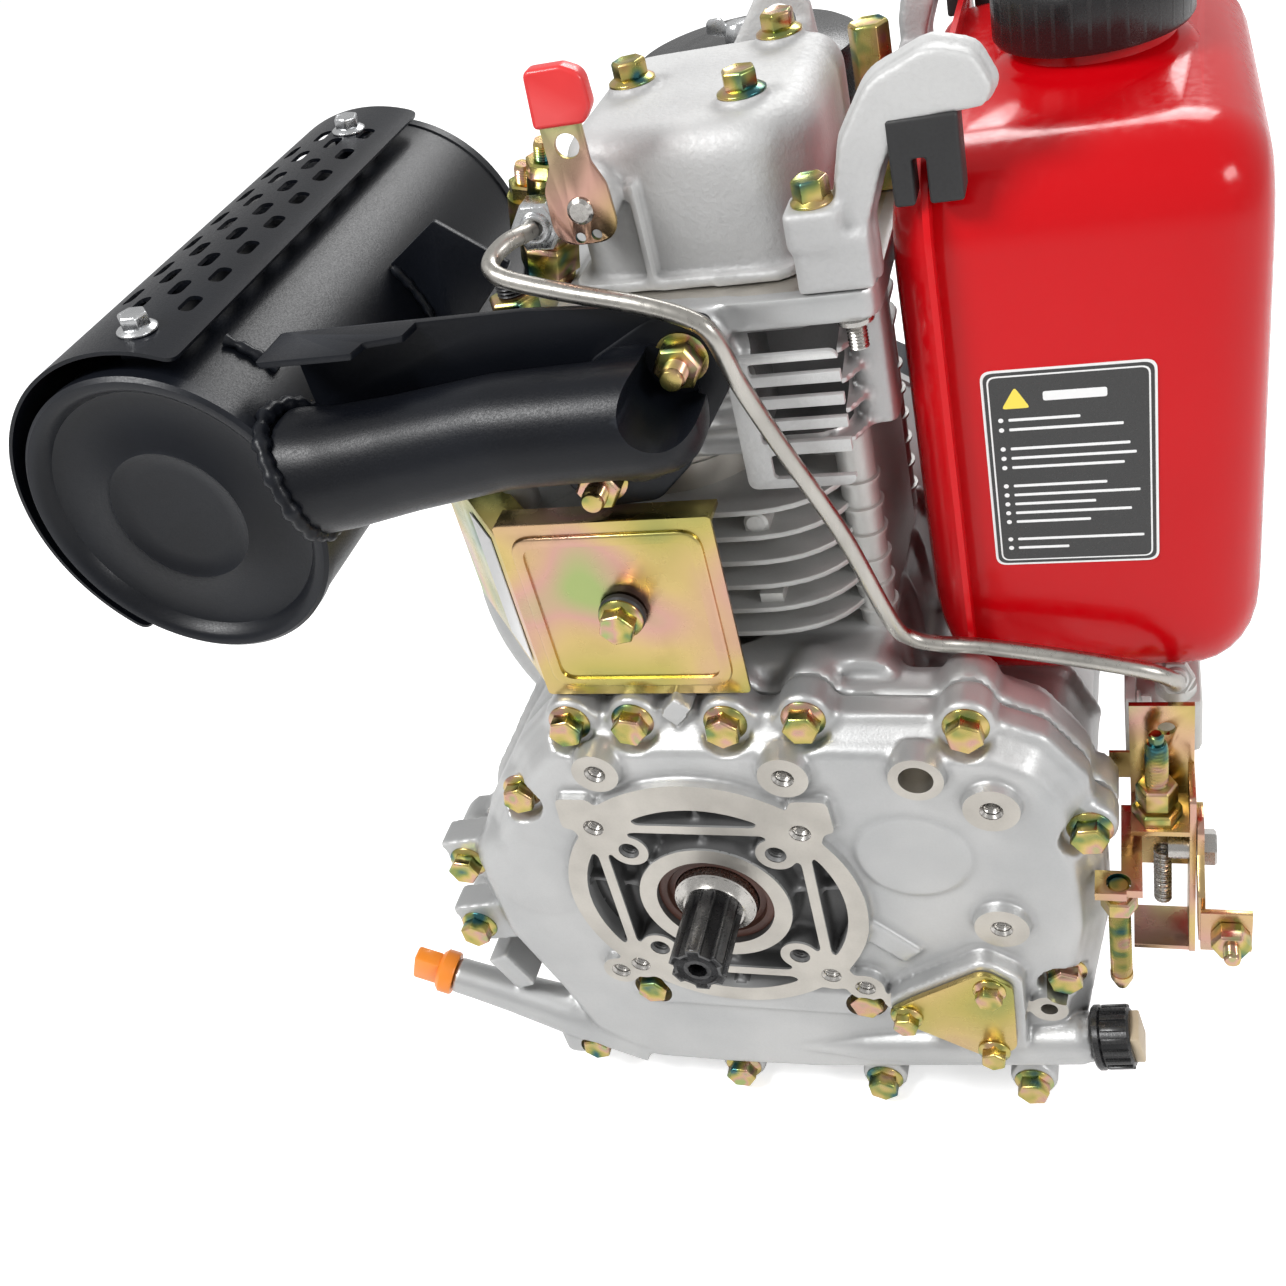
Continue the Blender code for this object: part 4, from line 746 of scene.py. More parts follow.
    boss_faces = [disc(13, "Y", -40, 0, place, 24) for place in TAPPED_BOSSES]
    boss_faces += [disc(13, "Y", -40, 0, (95, 77), 24), disc(10, "Y", -40, 2.0, (137, -62), 24)]
    seats = [disc(8.6, "Y", -40, 14.2, place, 28) for place in COVER_BOLTS]
    seats += [disc(9.4, "Y", -40, 9.0, place, 28) for place in WELL_BOLTS]
    threads = [turned([(0, -5), (4.6, -5), (4.6, 0.4), (3.5, 1.6)]
                      + [(3.5 if i % 2 else 4.0, 1.6 + 0.62 * i) for i in range(1, 16)] + [(0, 11.5)],
                      "Y", place, 24) for place in outer + inner + ears + TAPPED_BOSSES]
    bores = [disc(6.8, "Y", -10, 14, (95, 77), 32), disc(3.6, "Y", -10, 14, (137, -62), 24),
             disc(26.2, "Y", -10, 18, sides=64)]
    hollow = prism(rounded(inset(SKIN_OUTLINE, 9), 10), "Y", 19, JOINT_Y + 10)
    tube_bores = [aimed(disc(5.0, "Z", 8, 80, sides=24), dip_start, dip),
                  aimed(disc(7.5, "Z", along.length - 34, along.length + 10, sides=24), start, along)]
    made = cast("crankcase_cover_casting", shapes, CAST, 1.25, 5,
                cut=[(box((-70, -40, -70), (70, 0, 75)), MACHINED), (gathered(boss_faces), MACHINED),
                     (gathered(seats), MACHINED), (gathered(threads), STEEL),
                     (gathered(bores + tube_bores), MACHINED), (hollow, CAST)])
    # Painted shade on the pockets inside the ring, behind the machined face.
    painted_shade_radius, painted_shade_front = 57.6, 0.7
    paint_where(made, PAINTED_SHADE_CAST, lambda place: place.y > painted_shade_front and math.hypot(place.x, place.z) < painted_shade_radius)
    fitted(made, "engine", "cast_alloy", "crankcase_cover")

    plate = rounded([(66, -62), (80, -51), (112, -29), (124, -38), (123, -80), (110, -88)], 8)
    pump_plate = to_object("pump_cover_plate", prism(plate, "Y", -7, -4), [CHROMATE_SHEET])
    fitted(bevelled(pump_plate, 0.5), "engine", "zinc_yellow", "oil_pump_cover")
    bolts("cover_bolts", [((x, 14.4, z), (0, -1, 0)) for x, z in COVER_BOLTS], "engine", "zinc_yellow")
    bolts("well_bolts", [((x, 9.2, z), (0, -1, 0)) for x, z in WELL_BOLTS], "engine", "zinc_yellow",
          across=13.0, flange=8.8)
    bolts("pump_bolts", [((x, -7.0, z), (0, -1, 0)) for x, z in PUMP_BOLTS], "engine", "zinc_yellow",
          across=10.0, flange=7.0, head=5.2)


def output_shaft():
    seal_profile = [(19.0, 4.6), (21.5, 5.4), (22.4, 3.6), (24.6, 3.0), (26.0, 3.2), (26.0, 10.5), (19.0, 10.5)]
    seal = to_object("shaft_seal", turned(seal_profile, "Y", sides=72), [SEAL_BROWN])
    fitted(seal, "engine", "seal_brown", "oil_seal")
    outline = []
    for i in range(6):
        middle = math.radians(60 * i + 30)
        for radius, half in ((9.9, 0.34), (12.4, 0.27)):
            outline.append((radius, middle - half))
        outline.append((12.5, middle))
        for radius, half in ((12.4, 0.27), (9.9, 0.34)):
            outline.append((radius, middle + half))
        outline.append((9.9, middle + math.radians(30)))
    points = [(r * math.cos(a), r * math.sin(a)) for r, a in outline]
    spline = prism(points, "Y", -36, -2, 0.9, 2)
    collar = turned([(0, -3), (13.6, -3), (14.6, -1.5), (18.2, 0.5), (18.4, 2.0), (18.4, 12), (0, 12)], "Y", sides=64)
    made = to_object("splined_output_shaft", spline, [BLACK_STEEL])
    cut_with(made, [("DIFFERENCE", gathered([turned([(0, -40), (5.6, -40), (5.6, -36), (4.3, -34.4), (4.3, -20),
                                                     (0, -17)], "Y", sides=32)]), BLACK_STEEL)])
    bevelled(made, 0.35, 2, 40)
    fitted(made, "crank", "black_steel")
    fitted(to_object("shaft_sleeve", collar, [STEEL]), "crank", "machined_steel")
    polish("crankshaft", BLACK_STEEL)


# ---- crankcase, barrel and head -----------------------------------------------------------------
def crankcase():
    front = prism(rounded(inset(SKIN_OUTLINE, -4), 8), "Y", JOINT_Y + 0.4, 44, 0)
    body = prism(rounded(REAR_OUTLINE, 12), "Y", 40, 164, 0)
    pads = [disc(11.0, "Y", JOINT_Y + 0.4, 48, place, 24) for place in COVER_BOLTS]
    feet = [box((x0, 44, -152), (x0 + 30, 158, -143)) for x0 in (-100, 92)]
    webs = [box((x0, y, -150), (x0 + 30, y + 6, -120)) for x0 in (-100, 92) for y in (62, 98, 134)]
    ribs = [prism(rounded(inset(REAR_OUTLINE, -3.5), 12), "Y", y, y + 5) for y in (60, 90, 125, 158)]
    ribs.append(prism(rounded(inset(SKIN_OUTLINE, -1), 12), "Y", 44, 52))
    tower = prism(rounded([(-60, 46), (84, 46), (84, 156), (-60, 156)], 12), "Z", 92, 104)
    bulge = disc(34, "Y", 44, 60, BALANCE_AXIS, 40, 6, 4)
    shapes = [front, body, tower, bulge] + pads + feet + webs + ribs
    hollows = [prism(inset(SKIN_OUTLINE, 5), "Y", JOINT_Y - 5, 39),
               prism(inset(REAR_OUTLINE, 8), "Y", 37, 157), disc(52, "Z", 60, 120, (0, CYLINDER_Y), 40),
               disc(27, "Y", 150, 175, (0, 0), 32),
               box((62, 82, 50), (74, 136, 120))]
    soles = gathered([box((x0 - 6, 30, -170), (x0 + 36, 175, -151.4)) for x0 in (-100, 92)])
    foot_holes = gathered([disc(5.0, "Z", -170, -130, (x0 + 15, y), 20) for x0 in (-100, 92) for y in (52, 148)])
    made = cast("crankcase_casting", shapes, CAST, 2.4, 5,
                cut=[(soles, MACHINED), (foot_holes, MACHINED), (gathered([hollows[0]]), CAST), (gathered([hollows[1]]), CAST),
                     (gathered(hollows[2:]), CAST)])
    fitted(made, "engine", "cast_alloy", "crankcase")


def fin_plate(outline, low, thick, soft=0.8):
    return prism(outline, "Z", low, low + thick, soft, 2, soft_both=True)


def barrel():
    low, high = 104.4, 196.0
    fin = rounded([(-74, 40), (78, 40), (78, 156), (-74, 156)], 44, 10)
    shapes = [disc(52.0, "Z", low, high, (0, CYLINDER_Y), 56),
              disc(51.0, "Z", 82, low + 2, (0, CYLINDER_Y), 48)]
    shapes += [fin_plate(fin, z, 2.6) for z in (117, 128.5, 140, 151.5, 163, 174.5)]
    shapes += [prism(rounded([(-58, 46), (66, 46), (66, 152), (-58, 152)], 12), "Z", low, low + 9, 1.5, 2, True),
               prism(rounded([(-62, 44), (86, 44), (86, 156), (-62, 156)], 22), "Z", high - 8, high, 1.2, 2, True),
               prism(rounded([(56, 76), (82, 76), (84, 142), (56, 142)], 8), "Z", low, high - 2)]
    for x, y in ((39, 33), (-30, 38)):
        shapes += [turned([(0, z), (5.6, z), (5.6, z + 3.4), (0, z + 3.4)], "Z", (x, y + 12), 24)
                   for z in (128, 163)]
    for z in (134.3, 168.8):
        for x in (40.5, -34):
            shapes.append(aimed(turned([(0, -16), (4.8, -16), (4.8, -1), (3.6, 0), (0, 0)], "Z", sides=28),
                                (x, 43, z), (0, -1, 0)))
            shapes.append(box((x - 4.6, 44, z - 7), (x + 4.6, 60, z + 1)))
    for x, y in ((81, 66), (80, 150), (-56, 54), (-56, 148)):
        shapes.append(turned([(0, low), (7.2, low), (7.2, high - 1), (0, high - 1)], "Z", (x - 4 if x > 0 else x, y), 24))
        for z in (112, 124, 136, 148, 160, 172):
            shapes.append(turned([(0, z), (8.6, z + 1.4), (8.6, z + 2.6), (0, z + 4)], "Z", (x - 4 if x > 0 else x, y), 24))
    made = to_object("barrel_casting", gathered(shapes), [IRON])
    cut_with(made, [("DIFFERENCE", disc(43.4, "Z", 70, 210, (0, CYLINDER_Y), 56), MACHINED)])
    # Painted shade in the gaps between the fins, near the barrel wall.
    fin_gap_shade_radius = 52.6
    paint_where(made, PAINTED_SHADE_CAST, lambda place: 44.0 < math.hypot(place.x, place.y - CYLINDER_Y) < fin_gap_shade_radius)
    fitted(made, "engine", "cast_iron", "cylinder_barrel")


def cylinder_head():
    low = 197.2
    body = prism(rounded([(-46, 50), (80, 50), (80, 156), (-46, 156)], 14), "Z", low, 254)
    deck = prism(rounded([(-22, 54), (50, 45), (97, 45), (97, 166), (-22, 166)], 9), "Z", 247, 258)
    fins = [fin_plate(rounded([(-66, 46), (86, 46), (86, 162), (-66, 162)], 18), z, 3.2, 0)
            for z in (low, low + 12, low + 24, low + 36)]
    port = prism(rounded([(-22, 200), (20, 200), (46, 236), (40, 256), (8, 256), (-18, 222)], 8), "Y", 32, 60)
    intake = disc(20, "Y", 150, 176, (20, 228), 36)
    wall = [prism(rounded([(-52, 50), (-26, 50), (-26, 76), (-52, 76)], 8), "Z", low, 247), box((-4, 40, 238), (40, 60, 250)),
            prism(rounded([(82, 62), (96, 62), (96, 78), (82, 78)], 5), "Z", low, 250)]
    injector_boss = aimed(turned([(0, -20), (17, -20), (14, 14), (0, 14)], "Z", sides=32), (-37, 90, 238), (17, -11, 62))
    cut = [(gathered([disc(14, "Y", 20, 46, (12, 226), 32), disc(14, "Y", 156, 190, (20, 228), 32)]), CAST),
           (gathered([box((-80, 20, 258), (110, 180, 262)), ]), MACHINED),
           (gathered([box((-40, 20, 190), (60, 31.9, 266))]), MACHINED)]
    made = cast("head_casting", [body, deck, port, intake, injector_boss] + fins + wall, CAST, 1.7, 4,
                cut=cut)
    # The pocket behind the grille gets a painted shade finish.
    cut_with(made, [("DIFFERENCE", box((50, 36, 203), (80, 74, 245)), PAINTED_SHADE_CAST)])
    fitted(made, "engine", "cast_alloy", "cylinder_head")
    grille = prism(rounded([(42, 186), (82, 186), (82, 240), (42, 240)], 4), "Y", 40.5, 43)
    openings = [prism(rounded([(50, z), (84, z), (84, z + 5), (50, z + 5)], 1.5), "Y", 30, 50)
                for z in (205, 214, 223, 232)]
    openings.append(prism(rounded([(52, 190), (84, 190), (84, 200), (52, 200)], 2), "Y", 30, 50))
    made = to_object("head_front_grille", grille, [SAND_CAST])
    cut_with(made, [("DIFFERENCE", gathered(openings), SAND_CAST)])
    fitted(bevelled(made, 0.6), "engine", "cast_alloy")


def rocker_cover():
    outline = [(-12, 66), (62, 61), (79, 80), (79, 163), (-12, 163)]
    flange = prism(rounded(inset(outline, -3.5), 12), "Z", 258.4, 262.5)
    body = prism(rounded(inset(outline, 0.6), 19), "Z", 312.5, 259, 12, 8)
    shapes = [flange, body]
    tops = ((7, 116), (54, 86), (56, 147))
    shapes += [turned([(0, 286), (14, 286), (10, 304), (9.0, 312), (8.6, 317), (0, 317)], "Z", place, 36)
               for place in tops]
    shapes.append(disc(10.5, "Y", 55, 74, LIFTER_AXIS, 32))
    shapes.append(box((15, 60, 259), (18, 70, 298)))
    cut = [(gathered([disc(9.6, "Z", 315, 330, place, 28) for place in tops]), MACHINED),
           (gathered([disc(3.6, "Y", 40, 62, LIFTER_AXIS, 20), box((-40, 30, 255), (110, 190, 258.4))]), MACHINED),
           (prism(rounded(inset(outline, 7), 12), "Z", 250, 296), CAST)]
    made = cast("rocker_cover_casting", shapes, SAND_CAST, 1.35, 7, cut=cut)
    fitted(made, "engine", "cast_alloy", "rocker_cover")
    bolts("rocker_cover_bolts", [((x, y, 315), (0, 0, 1)) for x, y in tops], "engine", "zinc_yellow",
          across=11.0, flange=8.6, head=6.5)


def decompressor():
    x, z = LIFTER_AXIS
    outline = rounded([(x - 12, z - 12), (x + 12, z - 12), (x + 11, z + 8), (x + 7.5, z + 16), (x + 7.5, z + 31), (x - 7, z + 31),
                       (x - 7, z + 16), (x - 11, z + 8)], [10, 10, 8, 5, 1, 1, 5, 8], 8)
    made = to_object("decompression_plate", prism(outline, "Y", 48, 50), [CHROMATE_SHEET])
    holes = [disc(4.2, "Y", 40, 60, (x + 1, z + 22), 28), disc(1.8, "Y", 40, 60, (x - 2.5, z - 9.5), 16),
             disc(1.8, "Y", 40, 60, (x + 3.5, z - 9.0), 16)]
    cut_with(made, [("DIFFERENCE", gathered(holes), CHROMATE)])
    bevelled(made, 0.35)
    fitted(made, "decompression", "zinc_yellow", "decompression_lever")
    spindle = turned([(0, 46.2), (3.4, 46.2), (4.6, 47.2), (4.8, 48.2), (3.2, 48.4), (3.2, 50.5), (6.5, 50.6),
                      (6.5, 54.6), (0, 54.6)], "Y", LIFTER_AXIS, 28)
    fitted(to_object("decompression_spindle", spindle, [STEEL]), "decompression", "machined_steel")
    grip = prism(rounded([(x - 8.2, z + 29), (x + 9.5, z + 29), (x + 13, z + 34), (x + 12.5, z + 45), (x + 6, z + 48),
                          (x - 7, z + 48)], [2, 3, 5, 9, 4, 3], 6), "Y", 45.5, 52.5)
    fitted(bevelled(to_object("decompression_handle", grip, [RED_GRIP]), 1.8, 4), "decompression", "grip_red",
           "decompression_grip")
    torsion = [Vector((x + 5 * math.cos(a * TAU), 52 + 1.5 * a, z + 5 * math.sin(a * TAU))) for a in
               [i / 20 for i in range(50)]]
    fitted(to_object("decompression_spring", swept(torsion, 0.7, 8), [STEEL]), "decompression", "machined_steel")


# ---- injection ----------------------------------------------------------------------------------
FUEL_PIPE_POINTS = [(-21.5, 75, 286.5), (-20.5, 62, 287.5), (-22, 52, 289), (-26, 44, 289.5),
                    (-29.5, 37, 287.5), (-28, 31, 285.5), (-20, 27, 283), (0, 24, 278), (25, 20, 273),
                    (41, 18.5, 267), (47.5, 18.5, 260), (52, 22, 240), (60, 25.5, 215), (75, 33, 170),
                    (87, 38, 125), (93, 41, 114), (103, 42, 110), (120, 41, 109), (150, 40, 104),
                    (178, 40, 97), (188, 45, 88), (190, 56, 76), (190, 66, 69.4)]
INJECTOR_FOOT = Vector((-37, 90, 238))
INJECTOR_DIRECTION = Vector((17, -11, 62)).normalized()


def injection():
    pipe = to_object("injection_pipe", swept(smooth_path(FUEL_PIPE_POINTS, 1.6), 3.2, 20), [PIPE_STEEL])
    fitted(pipe, "engine", "machined_steel", "high_pressure_pipe")
    start, second = Vector(FUEL_PIPE_POINTS[0]), Vector(FUEL_PIPE_POINTS[1])
    nut = aimed(gathered([hexagon(16.4, 5, 17, 1.2, 0), turned([(3.4, 16.6), (6.0, 16.6), (5.0, 19), (3.4, 19)], "Z", sides=28),
                          threaded(6.0, -3, 5.5, 1.5)]), start, second - start)
    fitted(bevelled(to_object("injection_pipe_nut", nut, [SILVER_ZINC]), 0.4), "engine", "zinc_silver", "pipe_nut")
    foot, up = INJECTOR_FOOT, INJECTOR_DIRECTION
    holder = gathered([turned([(0, -20), (8, -20), (8, 14), (9.4, 16), (9.4, 24), (8, 27), (8, 52), (6, 54), (5, 62),
                               (3.5, 66), (0, 66)], "Z", sides=32), hexagon(20, 26, 38, 1.4, 0)])
    injector = to_object("injector_holder", aimed(holder, foot, up), [CHROMATE])
    fitted(bevelled(injector, 0.3), "engine", "zinc_yellow", "injector")
    parts = []
    for place, size in (((-20, 78, 300), 11), ((-33, 86, 290), 10)):
        parts.append(aimed(gathered([turned([(0, -14), (6.4, -14), (6.4, 0), (0, 0)], "Z", sides=28),
                                     hexagon(size, 0, 6, 0.8, 0), threaded(3.2, 5.5, 13, 1.0)]), place, up))
    fitted(to_object("leak_off_fittings", gathered(parts), [CHROMATE]), "engine", "zinc_yellow")
    stud_seat = (-38, 62, 251)
    clamp_nut = gathered([hexagon(17, 0, 12, 1.2, 0), turned([(0, -5), (10.5, -5), (10.5, 0.2), (0, 0.2)], "Z", sides=36)])
    fitted(bevelled(to_object("head_stud_nut", aimed(clamp_nut, stud_seat, (0, 0, 1)), [CHROMATE_DARK]), 0.4),
           "engine", "zinc_yellow")
    fitted(to_object("head_stud_end", aimed(threaded(5.4, 11, 18, 1.4), stud_seat, (0, 0, 1)), [BLACK_STEEL]),
           "engine", "black_steel")
    pump = [box((174, 66, 30), (200, 98, 58), 2.5), box((170.4, 58, 24), (175, 106, 66), 1.5),
            disc(8.0, "Z", 56, 62, (190, 74), 32), disc(6, "Y", 90, 110, (188, 43), 24),
            aimed(hexagon(13, -14, -2, 1, 0), (190, 68, 68), (0, -0.83, 0.55)),
            aimed(threaded(5.0, -3, 2, 1.2), (190, 68, 68), (0, -0.83, 0.55))]
    for y, z in ((62, 30), (62, 60), (102, 30), (102, 60)):
        pump.append(aimed(bolt_shape(8, 6, 4), (175, y, z), (1, 0, 0)))
    fitted(to_object("injection_pump_body", gathered(pump), [IRON]), "engine", "cast_iron", "injection_pump")


# ---- exhaust ------------------------------------------------------------------------------------
def about_muffler(shape, degrees, y):
    moved(shape, turn=90 - degrees, about="Y")
    bmesh.ops.translate(shape, vec=(MUFFLER_AXIS[0], y, MUFFLER_AXIS[1]), verts=shape.verts)
    return shape


def weld_bead(path, radius):
    """A lumpy bead of weld metal along a path."""
    fine = smooth_path(path, 2.2)
    radii = [radius * (1.0 + 0.22 * math.sin(2.1 * i) + 0.12 * math.sin(5.3 * i)) for i in range(len(fine))]
    return swept(fine, radii, 14)


def exhaust():
    front, back = -6.0, 248.0
    cap = [(0, front + 5.5), (20, front + 5.2), (26, front + 4.6), (28.5, front + 3.2), (31, front + 4.6), (42, front + 6.0),
           (50, front + 6.4), (53.5, front + 5.4), (56, front + 1.2), (58.0, front), (60.5, front), (62, front + 1.4),
           (62, front + 6.5), (61.2, front + 7.2), (61.2, front + 9)]
    rear = [(61.2, back - 9), (61.2, back - 7.2), (62, back - 6.5), (62, back - 1.4), (60.5, back), (58, back),
            (56, back - 1.2), (53.5, back - 5.4), (50, back - 6.4), (31, back - 4.6), (28.5, back - 3.2),
            (20, back - 5.2), (0, back - 5.5)]
    shell = turned(cap + rear, "Y", MUFFLER_AXIS, 96)
    outlet = turned([(12, 120), (14, 120), (14, 168), (12, 168)], "Z", (MUFFLER_AXIS[0] - 14, 205), 32)
    stays = [about_muffler(box((-8, -7, 60.5), (8, 7, 67.6), 1.0), turn, y) for turn, y in
             ((84, 16), (84, 212), (222, 16), (222, 212))]
    muffler = to_object("muffler_shell", gathered([shell, outlet] + stays), [BLACK_PAINT])
    fitted(muffler, "engine", "black_steel", "muffler")

    inner, outer = 68.9, 70.4
    start, end = math.radians(66), math.radians(232)
    length = (end - start) * outer
    sheet = prism(rounded([(0, -2), (length, -2), (length, 238), (0, 238)], 5, 4), "Z", inner, outer)
    slots = []
    for row in range(4):
        for k in range(8):
            s = length * 0.062 + row * 11.0
            y = 36 + k * 24 + (12 if row % 2 else 0)
            if y < 212:
                slots.append(prism(rounded([(s - 3.1, y - 6), (s + 3.1, y - 6), (s + 3.1, y + 6), (s - 3.1, y + 6)], 3.1, 5),
                                   "Z", inner - 5, outer + 5))
    guard = to_object("muffler_guard_sheet", sheet, [BLACK_PAINT])
    cut_with(guard, [("DIFFERENCE", gathered(slots), BLACK_PAINT)])
    bent = bmesh.new()
    bent.from_mesh(guard.data)
    bmesh.ops.scale(bent, vec=(1 / MM,) * 3, verts=bent.verts)
    bmesh.ops.translate(bent, vec=-DATUM, verts=bent.verts)
    steps = 60
    for i in range(1, steps):
        bmesh.ops.bisect_plane(bent, geom=bent.verts[:] + bent.edges[:] + bent.faces[:], dist=1e-4,
                               plane_co=(length * i / steps, 0, 0), plane_no=(1, 0, 0))
    cx, cz = MUFFLER_AXIS
    for vertex in bent.verts:
        angle = start + vertex.co.x / outer
        radius = vertex.co.z
        vertex.co = Vector((cx + radius * math.cos(angle), vertex.co.y, cz + radius * math.sin(angle)))
    bmesh.ops.recalc_face_normals(bent, faces=bent.faces)
    old = guard.data
    bpy.data.objects.remove(guard)
    bpy.data.meshes.remove(old)
    fitted(to_object("muffler_heat_guard", bent, [BLACK_PAINT], 40), "engine", "black_steel", "muffler_guard")
    screws = []
    for degrees, y in ((84, 14), (84, 207), (222, 14), (222, 207)):
        a = math.radians(degrees)
        direction = Vector((math.cos(a), 0, math.sin(a)))
        seat = Vector((cx, y, cz)) + direction * outer
        screws.append((seat, direction))
    bolts("guard_bolts", screws, "engine", "zinc_silver", SILVER_ZINC, across=10.0, flange=7.6, head=5.4)

    straight = [Vector((x, 6, z)) for x, z in ((-114, 227), (-96, 228), (-70, 232), (-30, 238), (24, 239.5))]
    elbow = moved(turned([(0, -2), (20.2, -2), (20.0, 2), (18.4, 9), (14.6, 14.6), (8.4, 18.6), (0, 20)], "X",
                         (6, 239.5), 48), offset=(24, 0, 0))
    neck = turned([(0, 2), (20.4, 2), (20.0, 18), (21.5, 27), (0, 27)], "Y", (16, 236), 48)
    tube = cast("exhaust_elbow", [swept(straight, [24, 22.6, 21.0, 20.2, 20.2], 56), elbow, neck],
                BLACK_PAINT, 1.6, 6,
                cut=[(disc(62.2, "Y", -40, 300, MUFFLER_AXIS, 96), BLACK_PAINT),
                     (turned([(0, -60), (16, -60), (12.5, 12), (12.5, 24.5), (0, 25.4)], "Y", (33, 250), 48),
                      BLACK_PAINT)])
    fitted(tube, "engine", "black_steel", "exhaust_pipe")
    flange = prism(rounded([(-24, 203), (-12, 191), (12, 193), (26, 206), (48, 238), (46, 262), (26, 266), (0, 252)], 11, 8),
                   "Y", 26, 31.5)
    fitted(bevelled(to_object("exhaust_flange", flange, [BLACK_PAINT]), 1.2, 3), "engine", "black_steel")
    studs = []
    for x, z in ((33, 250), (-7, 204)):
        studs.append(aimed(gathered([hexagon(15, 0, 9, 1.2, 0), threaded(4.6, 8.5, 16.5, 1.25),
                                     turned([(0, -0.6), (9.4, -0.6), (9.4, 0.6), (0, 0.6)], "Z", sides=28)]),
                           (x, 25.6, z), (0, -1, 0)))
    fitted(bevelled(to_object("exhaust_nuts", gathered(studs), [CHROMATE]), 0.2), "engine", "zinc_yellow")

    web = prism(rounded([(-112, 240), (30, 240), (48, 250), (44, 263), (28, 269), (-20, 272), (-112, 272)], 3, 4),
                "Y", 26.6, 29.4)
    lip = prism(rounded([(-116, 7), (-78, 7), (-76, 15), (-62, 17), (-60, 29.4), (-116, 29.4)], 1.5, 3), "Z", 269.6, 272)
    stay = to_object("muffler_stay_bracket", gathered([lip]), [BLACK_PAINT])
    cut_with(stay, [("UNION", web, BLACK_PAINT),
                    ("DIFFERENCE", disc(62.4, "Y", -40, 300, MUFFLER_AXIS, 96), BLACK_PAINT)])
    fitted(bevelled(stay, 0.6), "engine", "black_steel", "muffler_stay")
    rear_plate = [(-124, 244), (-121, 252), (-94, 269), (-66, 247), (-100, 214), (-112, 208)]
    rear = to_object("muffler_rear_stay", prism(rounded(rear_plate, 1.5, 3), "Y", 127, 130), [BLACK_PAINT])
    cut_with(rear, [("DIFFERENCE", disc(62.2, "Y", -40, 300, MUFFLER_AXIS, 96), BLACK_PAINT)])
    fitted(bevelled(rear, 0.6), "engine", "black_steel")
    ring = []
    for k in range(25):
        a = TAU * k / 24
        y, z = 6 + 24 * math.cos(a), 228 + 24 * math.sin(a)
        x = cx + math.sqrt(62.0 ** 2 - (z - cz) ** 2)
        ring.append((x + 0.4, y, z))
    lower = [(cx + 62.5 * math.cos(a), 29.8, cz + 62.5 * math.sin(a)) for a in [math.radians(d) for d in (42, 48, 56, 62)]]
    upper = [(cx + 62.5 * math.cos(a), 126.6, cz + 62.5 * math.sin(a)) for a in [math.radians(d) for d in (6, 16, 26, 35)]]
    beads = gathered([weld_bead(ring, 3.0), weld_bead(lower, 2.2), weld_bead(upper, 2.0)])
    fitted(to_object("exhaust_welds", beads, [BLACK_PAINT], 60), "engine", "black_steel")


# ---- cooling shrouds ----------------------------------------------------------------------------
def dished_panel(low, high, y, rim, depth, corner, thick):
    """The outline of a rectangle from low to high, its corners rounded by 2 mm."""
    (x0, z0), (x1, z1) = low, high
    outline = rounded([(x0, z0), (x1, z0), (x1, z1), (x0, z1)], 2.0, 3)
    return outline


def deflector():
    front = prism(rounded([(-54, 106), (32, 106), (32, 190), (-54, 190)], 2, 3), "Y", 18.4, 20)
    frame_low, frame_high = (-47, 113), (25, 183)
    ridge_outer = rounded([(-49, 111), (27, 111), (27, 185), (-49, 185)], 9, 8)
    ridge_inner = rounded([(-44.5, 115.5), (22.5, 115.5), (22.5, 180.5), (-44.5, 180.5)], 6, 8)
    made = to_object("deflector_front", front, [CHROMATE_SHEET])
    cut_with(made, [("UNION", prism(ridge_outer, "Y", 16.6, 19, 1.2, 3), CHROMATE_SHEET),
                    ("DIFFERENCE", prism(ridge_inner, "Y", 10, 18.2), CHROMATE_SHEET),
                    ("UNION", gathered([box((-54, 18.4, 187), (32, 31, 189.2))]), CHROMATE_SHEET),
                    ("DIFFERENCE", disc(5.0, "Y", 0, 40, (-11, 148), 24), CHROMATE_SHEET)])
    bevelled(made, 0.6, 3)
    fitted(made, "engine", "zinc_yellow", "air_deflector")
    lower = [(-54, 18.6), (-52.6, 20), (-104, 84), (-105.4, 82.6)]
    side = to_object("deflector_side", prism(lower, "Z", 112, 186), [CHROMATE_SHEET])
    fitted(bevelled(side, 0.4), "engine", "zinc_yellow")
    top_fold = prism([(-54, 18.6), (-105.4, 82.6), (-96, 92), (-44, 32)], "Z", 184.8, 186.2)
    fitted(bevelled(to_object("deflector_fold", top_fold, [CHROMATE_SHEET]), 0.3), "engine", "zinc_yellow")
    grommet = turned([(4.4, 14.6), (8.6, 14.6), (9.4, 15.6), (9.4, 17.6), (7, 18.4), (7, 21), (4.4, 21)], "Y", (-11, 148), 36)
    fitted(to_object("deflector_grommet", grommet, [RUBBER]), "engine", "rubber_black")
    bolts("deflector_bolt", [((-11, 14.4, 148), (0, -1, 0))], "engine", "zinc_yellow", across=13.0, flange=9.0)
    along = Vector((-51.4, 64, 0)).normalized()
    out = Vector((-0.78, -0.626, 0))
    a, b = Vector((-60, 25.6, 0)), Vector((-76, 45.4, 0))
    sticker = prism([(a.x, a.y), (b.x, b.y), (b.x - 0.4, b.y - 0.3), (a.x - 0.4, a.y - 0.3)], "Z", 118, 180)
    fitted(to_object("deflector_blank_label", sticker, [LABEL_WHITE]), "engine", "zinc_yellow")


def volute(extra, steps=96):
    result = []
    for i in range(steps):
        angle = TAU * i / steps
        grow = max(0.0, math.cos(angle - math.radians(142))) ** 2
        radius = 124 + 48 * grow + extra
        result.append((radius * math.cos(angle), radius * math.sin(angle)))
    return result


